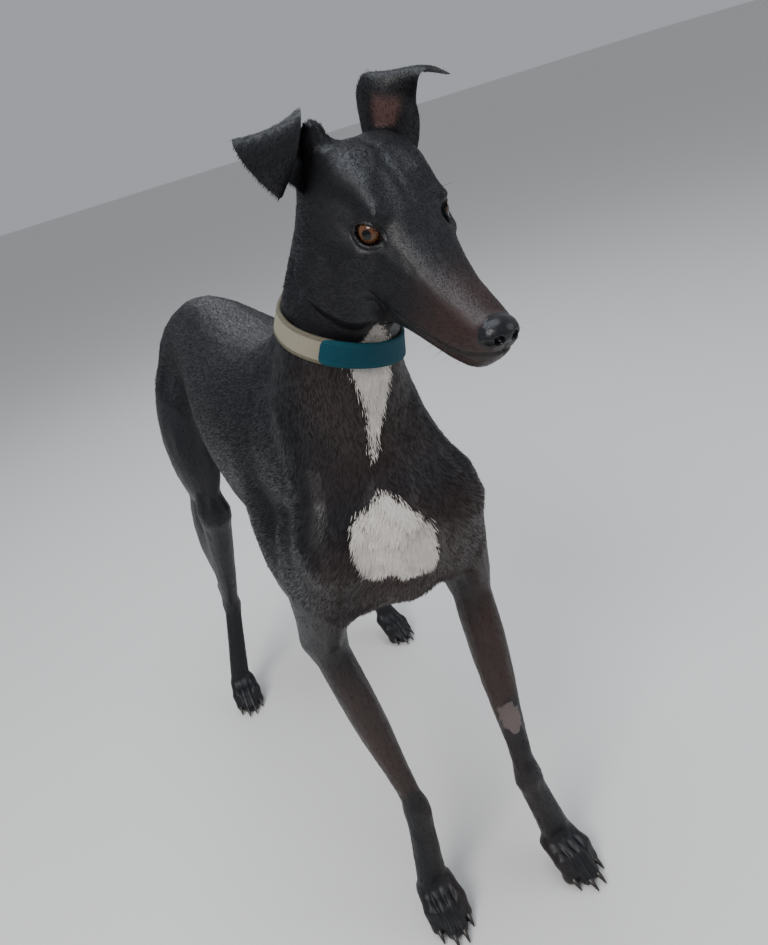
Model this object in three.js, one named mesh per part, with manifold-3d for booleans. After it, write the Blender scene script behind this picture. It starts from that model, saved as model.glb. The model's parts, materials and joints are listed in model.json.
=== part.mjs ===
// A life-size standing greyhound, black with a white chest, wearing a flat collar.
// Units are millimetres, +Z up. The dog faces -Y, so its left side is +X.
// The origin is on the floor, at the middle of the model's outline seen from above.
//
// The body is one smooth surface, the blend of bones, muscles and lofted trunk, neck and head. That surface
// is turned into triangles, thinned out where it is flat, and parted with thin cuts into named pieces.
import * as THREE from "three";
import { mergeVertices } from "three/addons/utils/BufferGeometryUtils.js";
import Module from "manifold-3d";

const wasm = await Module();
wasm.setup();

// Driving dimensions
const CUT_GAP = 0.3; // clear space left by each cut between two pieces
const EYE_RADIUS = 10.6;
const EYE_CLEARANCE = 0.3;
const SIDES = [
  { name: "right", s: -1 },
  { name: "left", s: 1 },
];

// Small vector helpers on plain arrays
const add = (a, b) => a.map((v, i) => v + b[i]);
const sub = (a, b) => a.map((v, i) => v - b[i]);
const scale = (a, k) => a.map((v) => v * k);
const dot = (a, b) => a[0] * b[0] + a[1] * b[1] + a[2] * b[2];
const length = (a) => Math.hypot(...a);
const unit = (a) => scale(a, 1 / length(a));
const cross = (a, b) => [a[1] * b[2] - a[2] * b[1], a[2] * b[0] - a[0] * b[2], a[0] * b[1] - a[1] * b[0]];
const mix = (a, b, t) => a.map((v, i) => v + (b[i] - v) * t);
const radians = THREE.MathUtils.degToRad;

// A smooth curve through rows of numbers. The first number of each row is the place along the curve.
function curveThrough(rows) {
  const slopes = rows.map((row, i) => {
    const before = rows[Math.max(i - 1, 0)];
    const after = rows[Math.min(i + 1, rows.length - 1)];
    return row.map((_, c) => (after[c] - before[c]) / (after[0] - before[0]));
  });
  return (place) => {
    const at = Math.min(Math.max(place, rows[0][0]), rows[rows.length - 1][0]);
    let i = 0;
    while (i < rows.length - 2 && at > rows[i + 1][0]) i++;
    const span = rows[i + 1][0] - rows[i][0];
    const t = (at - rows[i][0]) / span;
    const [a, b] = [(1 + 2 * t) * (1 - t) ** 2, t * (1 - t) ** 2 * span];
    const [c, d] = [t * t * (3 - 2 * t), t * t * (t - 1) * span];
    const [from, to, leaving, arriving] = [rows[i], rows[i + 1], slopes[i], slopes[i + 1]];
    return from.map((_, k) => a * from[k] + b * leaving[k] + c * to[k] + d * arriving[k]);
  };
}

// The forms that make up the body. Each knows its distance, the ball that holds it and how softly it blends.
const forms = [];
function addForm(blend, centre, reach, distance) {
  forms.push({ blend, centre, reach, distance });
}

// A limb piece with round ends, thicker at one end than the other.
function taper(a, b, ra, rb, blend) {
  const ab = sub(b, a);
  const ll = dot(ab, ab);
  addForm(blend, mix(a, b, 0.5), Math.sqrt(ll) / 2 + Math.max(ra, rb), (x, y, z) => {
    const p = [x - a[0], y - a[1], z - a[2]];
    const t = Math.min(Math.max(dot(p, ab) / ll, 0), 1);
    return Math.hypot(p[0] - ab[0] * t, p[1] - ab[1] * t, p[2] - ab[2] * t) - (ra + (rb - ra) * t);
  });
}

// A ball squeezed to three half sizes along three directions.
function ellipsoid(centre, axes, sizes) {
  const [e1, e2, e3] = axes;
  const [r1, r2, r3] = sizes;
  return (x, y, z) => {
    const p = [x - centre[0], y - centre[1], z - centre[2]];
    const [u, v, w] = [dot(p, e1) / r1, dot(p, e2) / r2, dot(p, e3) / r3];
    const k0 = Math.hypot(u, v, w);
    const k1 = Math.hypot(u / r1, v / r2, w / r3);
    return k1 < 1e-9 ? -Math.min(r1, r2, r3) : Math.max((k0 * (k0 - 1)) / k1, -Math.min(r1, r2, r3));
  };
}

// Three directions: along, across and out, made square to each other.
function frameAlong(along, out) {
  const e1 = unit(along);
  const e3 = unit(sub(out, scale(e1, dot(out, e1))));
  return [e1, cross(e3, e1), e3];
}

// A muscle belly from one attachment to the other, `wide` across and `thick` out from the bone.
function muscle(a, b, wide, thick, out, blend) {
  const long = length(sub(b, a)) / 2;
  const axes = frameAlong(sub(b, a), out);
  const centre = mix(a, b, 0.5);
  addForm(blend, centre, Math.max(long, wide, thick), ellipsoid(centre, axes, [long, wide, thick]));
}

// A rounded lump in the body's own directions.
function lump(centre, sizes, blend) {
  addForm(blend, centre, Math.max(...sizes), ellipsoid(centre, [[1, 0, 0], [0, 1, 0], [0, 0, 1]], sizes));
}

// A section of unequal upper and lower halves, as the distance from its outline.
function sectionDistance(x, z, half, up, down, roundUp, roundDown) {
  const n = z > 0 ? roundUp : roundDown;
  const u = Math.abs(x) / half;
  const v = Math.abs(z) / (z > 0 ? up : down);
  const r = (u ** n + v ** n) ** (1 / n);
  const from = Math.hypot(x, z);
  return r < 1e-6 ? -Math.min(half, up, down) : Math.max(from * (1 - 1 / r), -Math.min(half, up, down));
}

// A lofted form: rows of place along it, top line, level of the widest point, underline and half width
function addLoft(blend, centre, reach, rows, toLocal) {
  const sections = curveThrough(rows);
  const [first, last] = [rows[0][0], rows[rows.length - 1][0]];
  addForm(blend, centre, reach, (x, y, z) => {
    const [along, across, up] = toLocal(x, y, z);
    const [, top, level, bottom, half, roundUp = 2.15, roundDown = 2] = sections(along);
    const d = sectionDistance(across, up - level, half, top - level, level - bottom, roundUp, roundDown);
    const beyond = Math.max(first - along, along - last);
    return d > 0 && beyond > 0 ? Math.hypot(d, beyond) : Math.max(d, beyond);
  });
}

// Trunk: place along the body, top line, level of the widest point, underline, half width
const trunkRows = [
  [-146, 556, 532, 508, 20],
  [-112, 600, 540, 456, 50],
  [-55, 650, 560, 426, 70],
  [20, 686, 575, 408, 82],
  [100, 698, 585, 404, 93],
  [190, 698, 592, 424, 97],
  [280, 710, 608, 470, 84],
  [350, 722, 628, 522, 66],
  [430, 718, 632, 540, 58],
  [500, 694, 620, 536, 58],
  [560, 656, 604, 536, 48],
  [600, 622, 592, 560, 22],
];
addLoft(30, [0, 224, 570], 450, trunkRows, (x, y, z) => [y, x, z]);

// Neck: a column on a leaning axis, with its crest running down to the withers.
// The axis gives height, place across and place along the body.
const headCentre = [52, -180, 805];
const neckAxis = curveThrough([
  [590, 0, -22],
  [640, 0, -40],
  [690, 2, -62],
  [721, 6, -78],
  [770, 20, -97],
  [820, 40, -110],
  [862, 52, -108],
]);
// Height, nape, level of the widest point, throat, half width
const neckRows = [
  [590, 96, -12, -90, 76],
  [640, 92, -12, -78, 68],
  [690, 84, -12, -68, 60],
  [721, 74, -10, -64, 56],
  [770, 62, -8, -58, 53],
  [820, 50, -6, -54, 50],
  [862, 40, -4, -44, 42],
];
addLoft(26, [20, -70, 720], 210, neckRows, (x, y, z) => {
  const [, across, along] = neckAxis(z);
  return [z, x - across, y - along];
});
taper([0, 66, 672], [12, -30, 740], 30, 26, 30);

// Legs. Each row gives the joints of one leg; the paw row gives its centre on the floor and its turn.
const foreJoints = {
  right: { elbow: [-88, -14, 408], carpus: [-64, -51, 152], paw: [-78, -72, 0], turn: -6 },
  left: { elbow: [84, -36, 406], carpus: [64, -100, 152], paw: [80, -116, 0], turn: 8 },
};
const hindJoints = {
  right: { stifle: [-92, 396, 424], hock: [-108, 538, 186], paw: [-148, 512, 0], turn: -10 },
  left: { stifle: [98, 372, 426], hock: [124, 498, 186], paw: [142, 470, 0], turn: 10 },
};

function foreLeg(s, { elbow, carpus, paw }) {
  const shoulder = [s * 72, -92, 544];
  const out = [s, 0, 0];
  // Shoulder blade muscles, front and back of its spine
  muscle([s * 30, 50, 690], add(shoulder, [0, 0, 8]), 32, 17, [s, -0.3, 0.35], 16);
  muscle([s * 40, 88, 672], add(shoulder, [s * 4, 36, -6]), 34, 17, [s, 0, 0.3], 12);
  // Triceps: long head behind, lateral head outside
  muscle([s * 60, 96, 622], add(elbow, [s * 2, 22, 22]), 50, 29, out, 14);
  muscle([s * 78, -36, 572], add(elbow, [s * 4, 6, 14]), 30, 22, out, 10);
  // Upper arm and its front muscle
  taper(add(shoulder, [-s * 4, 8, 0]), elbow, 31, 24, 20);
  taper(add(shoulder, [-s * 4, -6, -20]), add(elbow, [s * 2, -20, 6]), 25, 19, 14);
  // Neck muscle that runs down to the arm
  taper([s * 36, -56, 664], add(shoulder, [-s * 8, -8, -12]), 24, 24, 24);
  // Breast muscle
  muscle([s * 6, -128, 536], add(elbow, [-s * 18, -34, 34]), 34, 24, [s * 0.2, -1, 0], 12);
  // Point of the elbow
  taper(add(elbow, [0, 8, 12]), add(elbow, [0, 27, 20]), 14, 11, 12);
  // Forearm
  const wrist = add(carpus, [0, 3, 14]);
  taper(add(elbow, [0, -2, -6]), wrist, 22, 13.5, 14);
  muscle(add(elbow, [s * 5, -13, 14]), mix(elbow, carpus, 0.72), 18, 18, [s * 0.7, -1, 0], 10);
  muscle(add(elbow, [-s * 3, 12, 8]), mix(elbow, carpus, 0.8), 16, 18, [-s * 0.3, 1, 0], 10);
  // Wrist and pastern
  addForm(8, carpus, 24, ellipsoid(carpus, [[1, 0, 0], [0, 1, 0], [0, 0, 1]], [17, 16, 22]));
  taper(add(carpus, [0, 15, -6]), add(carpus, [s * 2, 17, -18]), 7, 6, 8);
  const knuckles = add(paw, [0, 12, 46]);
  for (const t of [-1, 1]) taper(add(carpus, [t * 4.5, 0, -8]), add(knuckles, [t * 8, 0, 0]), 12, 12, 8);
}

function hindLeg(s, { stifle, hock, paw }) {
  const hip = [s * 62, 512, 596];
  const out = [s, 0, 0];
  // Rump, outer thigh, back thigh, front thigh and inner thigh
  muscle([s * 30, 430, 680], [s * 58, 556, 576], 46, 26, [s, 0.1, 0.6], 22);
  muscle(add(hip, [s * 2, -18, 30]), add(stifle, [s * 2, 30, 0]), 62, 36, out, 18);
  muscle([s * 44, 584, 596], add(stifle, [s * 0, 92, -4]), 36, 30, [s, 0.3, 0], 16);
  muscle([s * 50, 420, 640], add(stifle, [0, -2, 10]), 40, 26, [s, -0.3, 0], 18);
  muscle([s * 36, 512, 596], add(stifle, [-s * 18, 46, 30]), 56, 30, out, 18);
  lump(stifle, [23, 24, 30], 14);
  // Lower thigh: shin, calf, tendon and the skin between
  const point = add(hock, [0, 26, 24]);
  taper(add(stifle, [0, 4, -14]), hock, 24, 13.5, 14);
  muscle(add(stifle, [0, 52, 30]), mix(stifle, point, 0.78), 36, 23, out, 16);
  taper(mix(stifle, point, 0.5), point, 13, 8.5, 12);
  taper(mix(stifle, hock, 0.62), add(hock, [0, 14, 22]), 12, 9, 10);
  // Hock
  addForm(8, hock, 24, ellipsoid(hock, [[1, 0, 0], [0, 1, 0], [0, 0, 1]], [15, 17, 22]));
  taper(add(hock, [0, 12, 4]), point, 11, 9, 8);
  const knuckles = add(paw, [0, 14, 44]);
  for (const t of [-1, 1]) taper(add(hock, [t * 3.5, 3, -8]), add(knuckles, [t * 7, 0, 0]), 11.5, 11, 8);
}

// Paws: four toes, their pads and the heel pad. Sizes are shares of the forepaw's.
const TOE_SPREAD = 12.2;
const TOES = [-1.5, -0.5, 0.5, 1.5];
const pawSizes = { fore: 1, hind: 0.93 };
function pawFrame(paw, turn, size) {
  const a = radians(turn);
  return (across, forward, up) => [
    paw[0] + size * (across * Math.cos(a) + forward * Math.sin(a)),
    paw[1] + size * (across * Math.sin(a) - forward * Math.cos(a)),
    paw[2] + size * up,
  ];
}
const toeReach = (t) => (Math.abs(t) > 1 ? 25 : 40);
function pawForms(paw, turn, size) {
  const at = pawFrame(paw, turn, size);
  for (const t of TOES) {
    const reach = toeReach(t);
    const x = t * TOE_SPREAD;
    const knuckle = at(x * 0.98, reach * 0.42, 29);
    taper(at(x * 0.72, -14, 40), knuckle, 12 * size, 9.6 * size, 7 * size);
    taper(knuckle, at(x * 1.06, reach - 4, 12), 9.6 * size, 8.2 * size, 5.5 * size);
    lump(at(x * 1.03, reach - 9, 7.4), [8 * size, 11 * size, 8.6 * size], 4.5 * size);
  }
  lump(at(0, -4, 9.5), [20 * size, 16 * size, 11 * size], 5 * size);
}

for (const { name, s } of SIDES) {
  foreLeg(s, foreJoints[name]);
  hindLeg(s, hindJoints[name]);
  pawForms(foreJoints[name].paw, foreJoints[name].turn, pawSizes.fore);
  pawForms(hindJoints[name].paw, hindJoints[name].turn, pawSizes.hind);
}

// Tail: a thin whip hanging behind the legs
const tailPoints = [
  [0, 588, 628, 19],
  [0, 622, 580, 14],
  [2, 642, 500, 11],
  [4, 648, 410, 9],
  [4, 646, 320, 7.5],
  [2, 656, 245, 6],
  [0, 684, 196, 4],
];
for (let i = 0; i < tailPoints.length - 1; i++) {
  const [a, b] = [tailPoints[i], tailPoints[i + 1]];
  taper(a.slice(0, 3), b.slice(0, 3), a[3], b[3], 6);
}

// Head, in its own directions: forward to the nose, left, up. Its centre is midway between the eyes.
const headTurn = { yaw: radians(0), pitch: radians(-24), roll: radians(-3) };
const headForward = [
  Math.sin(headTurn.yaw) * Math.cos(headTurn.pitch),
  -Math.cos(headTurn.yaw) * Math.cos(headTurn.pitch),
  Math.sin(headTurn.pitch),
];
const levelLeft = [Math.cos(headTurn.yaw), Math.sin(headTurn.yaw), 0];
const levelUp = cross(headForward, levelLeft);
const headLeft = add(scale(levelLeft, Math.cos(headTurn.roll)), scale(levelUp, Math.sin(headTurn.roll)));
const headUp = cross(headForward, headLeft);
const headAxes = [headForward, headLeft, headUp];
const fromHead = (x, y, z) =>
  add(headCentre, add(scale(headForward, x), add(scale(headLeft, y), scale(headUp, z))));
const toHead = (x, y, z) => {
  const p = [x - headCentre[0], y - headCentre[1], z - headCentre[2]];
  return headAxes.map((axis) => dot(p, axis));
};
const headLump = (centre, sizes, blend) =>
  addForm(blend, fromHead(...centre), Math.max(...sizes), ellipsoid(fromHead(...centre), headAxes, sizes));
const headTaper = (a, b, ra, rb, blend) => taper(fromHead(...a), fromHead(...b), ra, rb, blend);

// Place forward of the eyes, top line, level of the widest point, underline, half width
const headRows = [
  [-120, 12, -10, -40, 16, 2, 2],
  [-104, 27, -12, -60, 34, 2, 2],
  [-78, 37, -16, -80, 45, 2.1, 2],
  [-48, 38, -20, -88, 49, 2.2, 2.1],
  [-20, 32, -22, -88, 46, 2.2, 2.2],
  [5, 20, -24, -84, 39, 2.2, 2.4],
  [28, 4, -29, -79, 31.5, 2.3, 2.7],
  [58, -11, -34, -76, 25.5, 2.4, 2.9],
  [88, -18, -37, -72, 22.5, 2.4, 2.9],
  [106, -21, -37, -66, 19.5, 2.4, 2.7],
  [117, -24, -36, -56, 15.5, 2.2, 2.2],
  [124, -27, -35, -46, 10, 2, 2],
];
addLoft(16, fromHead(0, 0, -10), 145, headRows, toHead);
for (const { s } of SIDES) {
  // Temple muscle beside the furrow of the skull, brow, cheekbone, cheek
  headLump([-60, s * 22, 22], [44, 21, 18], 8);
  headTaper([-22, s * 24, 20], [0, s * 29, 14], 9, 6, 10);
  headTaper([-66, s * 46, -16], [-6, s * 39, -18], 9, 8, 12);
  headLump([-44, s * 36, -44], [36, 17, 28], 14);
  // Upper lip
  headTaper([24, s * 24, -50], [98, s * 15, -45], 8, 7, 8);
}
// Ear roots: a tall stalk under the folded ear, a low one under the ear that stands
headTaper([-86, -30, 14], [-87, -33, 46], 18, 10, 12);
headTaper([-87, 31, 8], [-87, 36, 20], 18, 12, 12);
// Lower jaw and chin
headTaper([10, 0, -66], [98, 0, -60], 15, 9.5, 8);
// Nose leather
headLump([115, 0, -30], [12.5, 14.5, 10.5], 3);
for (const { s } of SIDES) headLump([115, s * 8.5, -32], [10, 8, 9], 3);

function smoothMin(a, b, k) {
  const h = Math.max(k - Math.abs(a - b), 0) / k;
  return Math.min(a, b) - (h * h * k) / 4;
}

// Eyes: place of each ball in the head, the way it looks and the line from its outer to its inner corner
const EYE_OUTWARD = radians(55);
const eyes = SIDES.map(({ name, s }) => {
  const look = unit([Math.cos(EYE_OUTWARD), s * Math.sin(EYE_OUTWARD), 0.1]);
  const ahead = [Math.sin(EYE_OUTWARD), -s * Math.cos(EYE_OUTWARD), -0.1];
  const along = unit(sub(ahead, scale(look, dot(ahead, look))));
  const up = cross(look, along);
  return { name, centre: [-7, s * 28, -1], look, along, up: up[2] < 0 ? scale(up, -1) : up };
});
const LID_THICKNESS = 2.3;
function withLids(d, hx, hy, hz) {
  for (const { centre } of eyes) {
    const from = Math.hypot(hx - centre[0], hy - centre[1], hz - centre[2]);
    d = smoothMin(d, from - (EYE_RADIUS + LID_THICKNESS), 6);
  }
  return d;
}

// Distance of a point from the body's surface, less than nothing inside
function bodyDistance(x, y, z) {
  let d = 1e3;
  for (const { blend, centre, reach, distance } of forms) {
    const far = Math.hypot(x - centre[0], y - centre[1], z - centre[2]) - reach;
    if (far > d + blend) continue;
    d = smoothMin(d, distance(x, y, z), blend);
  }
  const [hx, hy, hz] = toHead(x, y, z);
  return withLids(d, hx, hy, hz);
}

// Triangles on the surface. Cells are halved down to the size asked for at their place, each cell that the surface
// crosses gets one point on it, and the points of the cells round each crossed edge are joined.
const FINEST = 2.2;
const COARSEST = 64; // in units of FINEST
function surfaceTriangles(distance, low, high, unitsAt) {
  const values = new Map();
  const key = (i, j, k) => (i * 2048 + j) * 2048 + k;
  const place = (i, j, k) => [low[0] + i * FINEST, low[1] + j * FINEST, low[2] + k * FINEST];
  const valueAt = (i, j, k) => {
    const id = key(i, j, k);
    let v = values.get(id);
    if (v === undefined) {
      v = distance(...place(i, j, k));
      values.set(id, v);
    }
    return v;
  };
  const cells = new Map();
  const leaves = [];
  const visit = (i, j, k, n) => {
    const half = n / 2;
    const centre = place(i + half, j + half, k + half);
    if (Math.abs(distance(...centre)) > n * FINEST * 1.7) return;
    if (n > unitsAt(centre, n)) {
      for (let c = 0; c < 8; c++) {
        visit(i + (c & 1) * half, j + ((c >> 1) & 1) * half, k + (c >> 2) * half, half);
      }
      return;
    }
    const cell = { i, j, k, n, point: -1 };
    cells.set(key(i, j, k) * 8 + Math.log2(n), cell);
    leaves.push(cell);
  };
  const counts = [0, 1, 2].map((a) => Math.ceil((high[a] - low[a]) / (FINEST * COARSEST)));
  for (let i = 0; i < counts[0]; i++)
    for (let j = 0; j < counts[1]; j++)
      for (let k = 0; k < counts[2]; k++) visit(i * COARSEST, j * COARSEST, k * COARSEST, COARSEST);
  // The cell that holds a point given in half units
  const cellAt = (i, j, k) => {
    for (let level = 0; level < 4; level++) {
      const n = 1 << level;
      const f = (v) => Math.floor(v / n) * n;
      const cell = cells.get(key(f(i), f(j), f(k)) * 8 + level);
      if (cell) return cell;
    }
    return null;
  };
  const points = [];
  const pointOf = (cell) => {
    if (cell.point >= 0) return cell.point;
    const { i, j, k, n } = cell;
    const sum = [0, 0, 0];
    let crossings = 0;
    for (let axis = 0; axis < 3; axis++)
      for (let c = 0; c < 4; c++) {
        const a = [i, j, k];
        a[(axis + 1) % 3] += (c & 1) * n;
        a[(axis + 2) % 3] += (c >> 1) * n;
        const b = [...a];
        b[axis] += n;
        const [va, vb] = [valueAt(...a), valueAt(...b)];
        if (va < 0 === vb < 0) continue;
        const p = mix(place(...a), place(...b), va / (va - vb));
        for (let q = 0; q < 3; q++) sum[q] += p[q];
        crossings++;
      }
    let p = crossings ? scale(sum, 1 / crossings) : place(i + n / 2, j + n / 2, k + n / 2);
    const start = p;
    for (let step = 0; step < 3; step++) {
      const e = 0.2;
      const v = distance(...p);
      const g = [0, 1, 2].map((q) => {
        const ahead = [...p];
        const back = [...p];
        ahead[q] += e;
        back[q] -= e;
        return (distance(...ahead) - distance(...back)) / (2 * e);
      });
      p = sub(p, scale(g, v / Math.max(dot(g, g), 0.2)));
    }
    const moved = sub(p, start);
    const limit = n * FINEST * 0.5;
    if (length(moved) > limit) p = add(start, scale(unit(moved), limit));
    cell.point = points.length;
    points.push(p);
    return cell.point;
  };
  const triangles = [];
  const done = new Set();
  for (const cell of leaves) {
    const { n } = cell;
    for (let axis = 0; axis < 3; axis++)
      for (let c = 0; c < 4; c++) {
        const a = [cell.i, cell.j, cell.k];
        const [p, q] = [(axis + 1) % 3, (axis + 2) % 3];
        a[p] += (c & 1) * n;
        a[q] += (c >> 1) * n;
        const id = (key(...a) * 3 + axis) * 8 + Math.log2(n);
        if (done.has(id)) continue;
        done.add(id);
        const b = [...a];
        b[axis] += n;
        const [va, vb] = [valueAt(...a), valueAt(...b)];
        if (va < 0 === vb < 0) continue;
        const ring = [[-1, -1], [1, -1], [1, 1], [-1, 1]].map(([dp, dq]) => {
          const m = [...a];
          m[axis] += n / 2;
          m[p] += dp * 0.25;
          m[q] += dq * 0.25;
          return cellAt(...m);
        });
        if (ring.some((r) => !r)) throw new Error("the surface leaves the cells");
        if (ring.some((r) => r.n < n)) continue; // a smaller cell beside it draws this edge
        let corners = ring.map(pointOf).filter((v, at, all) => v !== all[(at + 1) % all.length]);
        if (va >= 0) corners = corners.reverse();
        if (corners.length < 3) continue;
        if (corners.length === 3) {
          triangles.push(corners);
          continue;
        }
        const [w, x, y, z] = corners;
        const wy = length(sub(points[w], points[y]));
        const xz = length(sub(points[x], points[z]));
        if (wy < xz) triangles.push([w, x, y], [w, y, z]);
        else triangles.push([w, x, z], [x, y, z]);
      }
  }
  return { points, triangles };
}

// Thins out a closed mesh by drawing the ends of edges together, cheapest first, while the surface moves by less than
// the tolerance at that place.
function thinOut({ points, triangles }, toleranceAt) {
  const faces = triangles.map((t) => [...t]);
  const alive = faces.map(() => true);
  const around = points.map(() => new Set());
  faces.forEach((f, id) => f.forEach((v) => around[v].add(id)));
  const normalOf = (a, b, c) => cross(sub(b, a), sub(c, a));
  const quadrics = points.map(() => new Float64Array(10));
  const addPlane = (q, n, d, w) => {
    const [a, b, c] = n;
    [a * a, a * b, a * c, a * d, b * b, b * c, b * d, c * c, c * d, d * d].forEach((v, i) => (q[i] += v * w));
  };
  for (const f of faces) {
    const [a, b, c] = f.map((v) => points[v]);
    const raw = normalOf(a, b, c);
    const area = length(raw);
    if (area < 1e-9) continue;
    const n = scale(raw, 1 / area);
    for (const v of f) addPlane(quadrics[v], n, -dot(n, a), 1);
  }
  const error = (q, [x, y, z]) =>
    q[0] * x * x + 2 * q[1] * x * y + 2 * q[2] * x * z + 2 * q[3] * x + q[4] * y * y + 2 * q[5] * y * z +
    2 * q[6] * y + q[7] * z * z + 2 * q[8] * z + q[9];
  const best = (q, a, b) => {
    const m = new THREE.Matrix3().set(q[0], q[1], q[2], q[1], q[4], q[5], q[2], q[5], q[7]);
    const middle = mix(a, b, 0.5);
    const tries = [middle, a, b];
    if (Math.abs(m.determinant()) > 1e-3) {
      const p = new THREE.Vector3(-q[3], -q[6], -q[8]).applyMatrix3(m.invert()).toArray();
      if (length(sub(p, middle)) < length(sub(a, b))) tries.unshift(p);
    }
    return tries.map((p) => [error(q, p), p]).reduce((l, r) => (r[0] < l[0] ? r : l));
  };
  const version = new Int32Array(points.length);
  const heap = [];
  const less = (i, j) => heap[i].cost < heap[j].cost;
  const swap = (i, j) => ([heap[i], heap[j]] = [heap[j], heap[i]]);
  const push = (item) => {
    heap.push(item);
    for (let i = heap.length - 1; i && less(i, (i - 1) >> 1); i = (i - 1) >> 1) swap(i, (i - 1) >> 1);
  };
  const pop = () => {
    const top = heap[0];
    const last = heap.pop();
    if (heap.length) {
      heap[0] = last;
      for (let i = 0; ; ) {
        let m = i;
        for (const c of [2 * i + 1, 2 * i + 2]) if (c < heap.length && less(c, m)) m = c;
        if (m === i) break;
        swap(i, m);
        i = m;
      }
    }
    return top;
  };
  const offer = (a, b) => {
    const q = quadrics[a].map((v, i) => v + quadrics[b][i]);
    const [e, p] = best(q, points[a], points[b]);
    const tolerance = toleranceAt(p);
    const long = length(sub(points[a], points[b])) / tolerance.edge;
    if (long > 1) return;
    const cost = Math.max(e, 0) / tolerance.move ** 2 + long * 0.02;
    if (cost < 1) push({ cost, a, b, p, va: version[a], vb: version[b] });
  };
  const neighbours = (v) => {
    const out = new Set();
    for (const f of around[v]) for (const w of faces[f]) if (w !== v) out.add(w);
    return out;
  };
  points.forEach((_, v) => neighbours(v).forEach((w) => v < w && offer(v, w)));
  while (heap.length) {
    const { a, b, p, va, vb } = pop();
    if (version[a] !== va || version[b] !== vb) continue;
    const shared = [...around[a]].filter((f) => around[b].has(f));
    const nb = neighbours(b);
    const common = [...neighbours(a)].filter((w) => nb.has(w));
    if (shared.length !== 2 || common.length !== 2) continue;
    const flips = [a, b].some((v) =>
      [...around[v]].some((f) => {
        if (shared.includes(f)) return false;
        const before = faces[f].map((w) => points[w]);
        const after = faces[f].map((w) => (w === v ? p : points[w]));
        const [n0, n1] = [normalOf(...before), normalOf(...after)];
        return dot(n0, n1) < 0.35 * length(n0) * length(n1);
      }),
    );
    if (flips) continue;
    for (const f of shared) {
      alive[f] = false;
      for (const w of faces[f]) around[w].delete(f);
    }
    for (const f of around[b]) {
      faces[f] = faces[f].map((w) => (w === b ? a : w));
      around[a].add(f);
    }
    around[b].clear();
    points[a] = p;
    quadrics[a] = quadrics[a].map((v, i) => v + quadrics[b][i]);
    version[a]++;
    version[b]++;
    neighbours(a).forEach((w) => offer(a, w));
  }
  return { points, triangles: faces.filter((_, id) => alive[id]) };
}

// Meshes and solids
function geometryOf({ points, triangles }) {
  const geometry = new THREE.BufferGeometry();
  geometry.setAttribute("position", new THREE.Float32BufferAttribute(points.flat(), 3));
  geometry.setIndex(triangles.flat());
  return geometry;
}
function solidOf(geometry) {
  const bare = geometry.clone();
  for (const name of Object.keys(bare.attributes)) if (name !== "position") bare.deleteAttribute(name);
  const merged = mergeVertices(bare, 1e-4);
  return new wasm.Manifold(
    new wasm.Mesh({
      numProp: 3,
      vertProperties: new Float32Array(merged.attributes.position.array),
      triVerts: new Uint32Array(merged.index.array),
    }),
  );
}
function largest(solid) {
  return solid.decompose().reduce((a, b) => (b.volume() > a.volume() ? b : a));
}
function geometryFrom(solid) {
  const mesh = solid.getMesh();
  const geometry = new THREE.BufferGeometry();
  const points = new Float32Array(mesh.numVert * 3);
  for (let i = 0; i < mesh.numVert; i++)
    points.set(mesh.vertProperties.subarray(i * mesh.numProp, i * mesh.numProp + 3), i * 3);
  geometry.setAttribute("position", new THREE.BufferAttribute(points, 3));
  geometry.setIndex(new THREE.BufferAttribute(mesh.triVerts, 1));
  return geometry;
}

// A solid's mesh with its vertices drawn to a fine grid, so that none lie closer together than its step. Triangles
// that vanish are dropped. Where two folds of the surface touch at a point, each is drawn in a little.
const GRID = 0.02;
const DRAW_IN = 0.08;
function finished(solid) {
  const geometry = geometryFrom(solid);
  geometry.computeVertexNormals();
  const { position, normal } = geometry.attributes;
  const index = geometry.index.array;
  const at = (i) => [position.getX(i), position.getY(i), position.getZ(i)];
  const cellOf = (p) => p.map((v) => Math.round(v / GRID)).join(" ");
  const used = new Map();
  for (let i = 0; i < position.count; i++) used.set(cellOf(at(i)), (used.get(cellOf(at(i))) ?? 0) + 1);
  const points = [];
  const ids = new Map();
  const idOf = Array.from({ length: position.count }, (_, i) => {
    const inward = used.get(cellOf(at(i))) > 1 ? DRAW_IN : 0;
    const n = [normal.getX(i), normal.getY(i), normal.getZ(i)];
    const p = sub(at(i), scale(n, inward)).map((v) => Math.round(v / GRID));
    const key = p.join(" ");
    if (!ids.has(key)) {
      ids.set(key, points.length);
      points.push(scale(p, GRID));
    }
    return ids.get(key);
  });
  const triangles = [];
  for (let t = 0; t < index.length; t += 3) {
    const corners = [0, 1, 2].map((k) => idOf[index[t + k]]);
    if (new Set(corners).size === 3) triangles.push(corners);
  }
  return geometryOf({ points, triangles });
}

// How fine the surface is at a place: whole body, then head and paws, then eyes, nose and mouth
const near = (p, centre, reach) => length(sub(p, centre)) < reach;
const eyePlaces = eyes.map(({ centre }) => fromHead(...centre));
const nosePlace = fromHead(116, 0, -32);
const collarCentre = [6, -80, 727];
function unitsAt(p, n) {
  const slack = n * FINEST;
  if (eyePlaces.some((e) => near(p, e, 20 + slack)) || near(p, nosePlace, 20 + slack)) return 1;
  if (near(p, headCentre, 140 + slack) || p[2] < 62 + slack) return 2;
  return 4;
}
function toleranceAt(p) {
  if (eyePlaces.some((e) => near(p, e, 17)) || near(p, nosePlace, 20)) return { move: 0.9, edge: 11 };
  if (near(p, headCentre, 140)) return { move: 1.9, edge: 24 };
  if (near(p, collarCentre, 90)) return { move: 2, edge: 26 };
  if (p[2] < 60) return { move: 2.6, edge: 22 };
  return { move: p[2] < 400 ? 3.4 : 5.5, edge: 70 };
}

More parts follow.
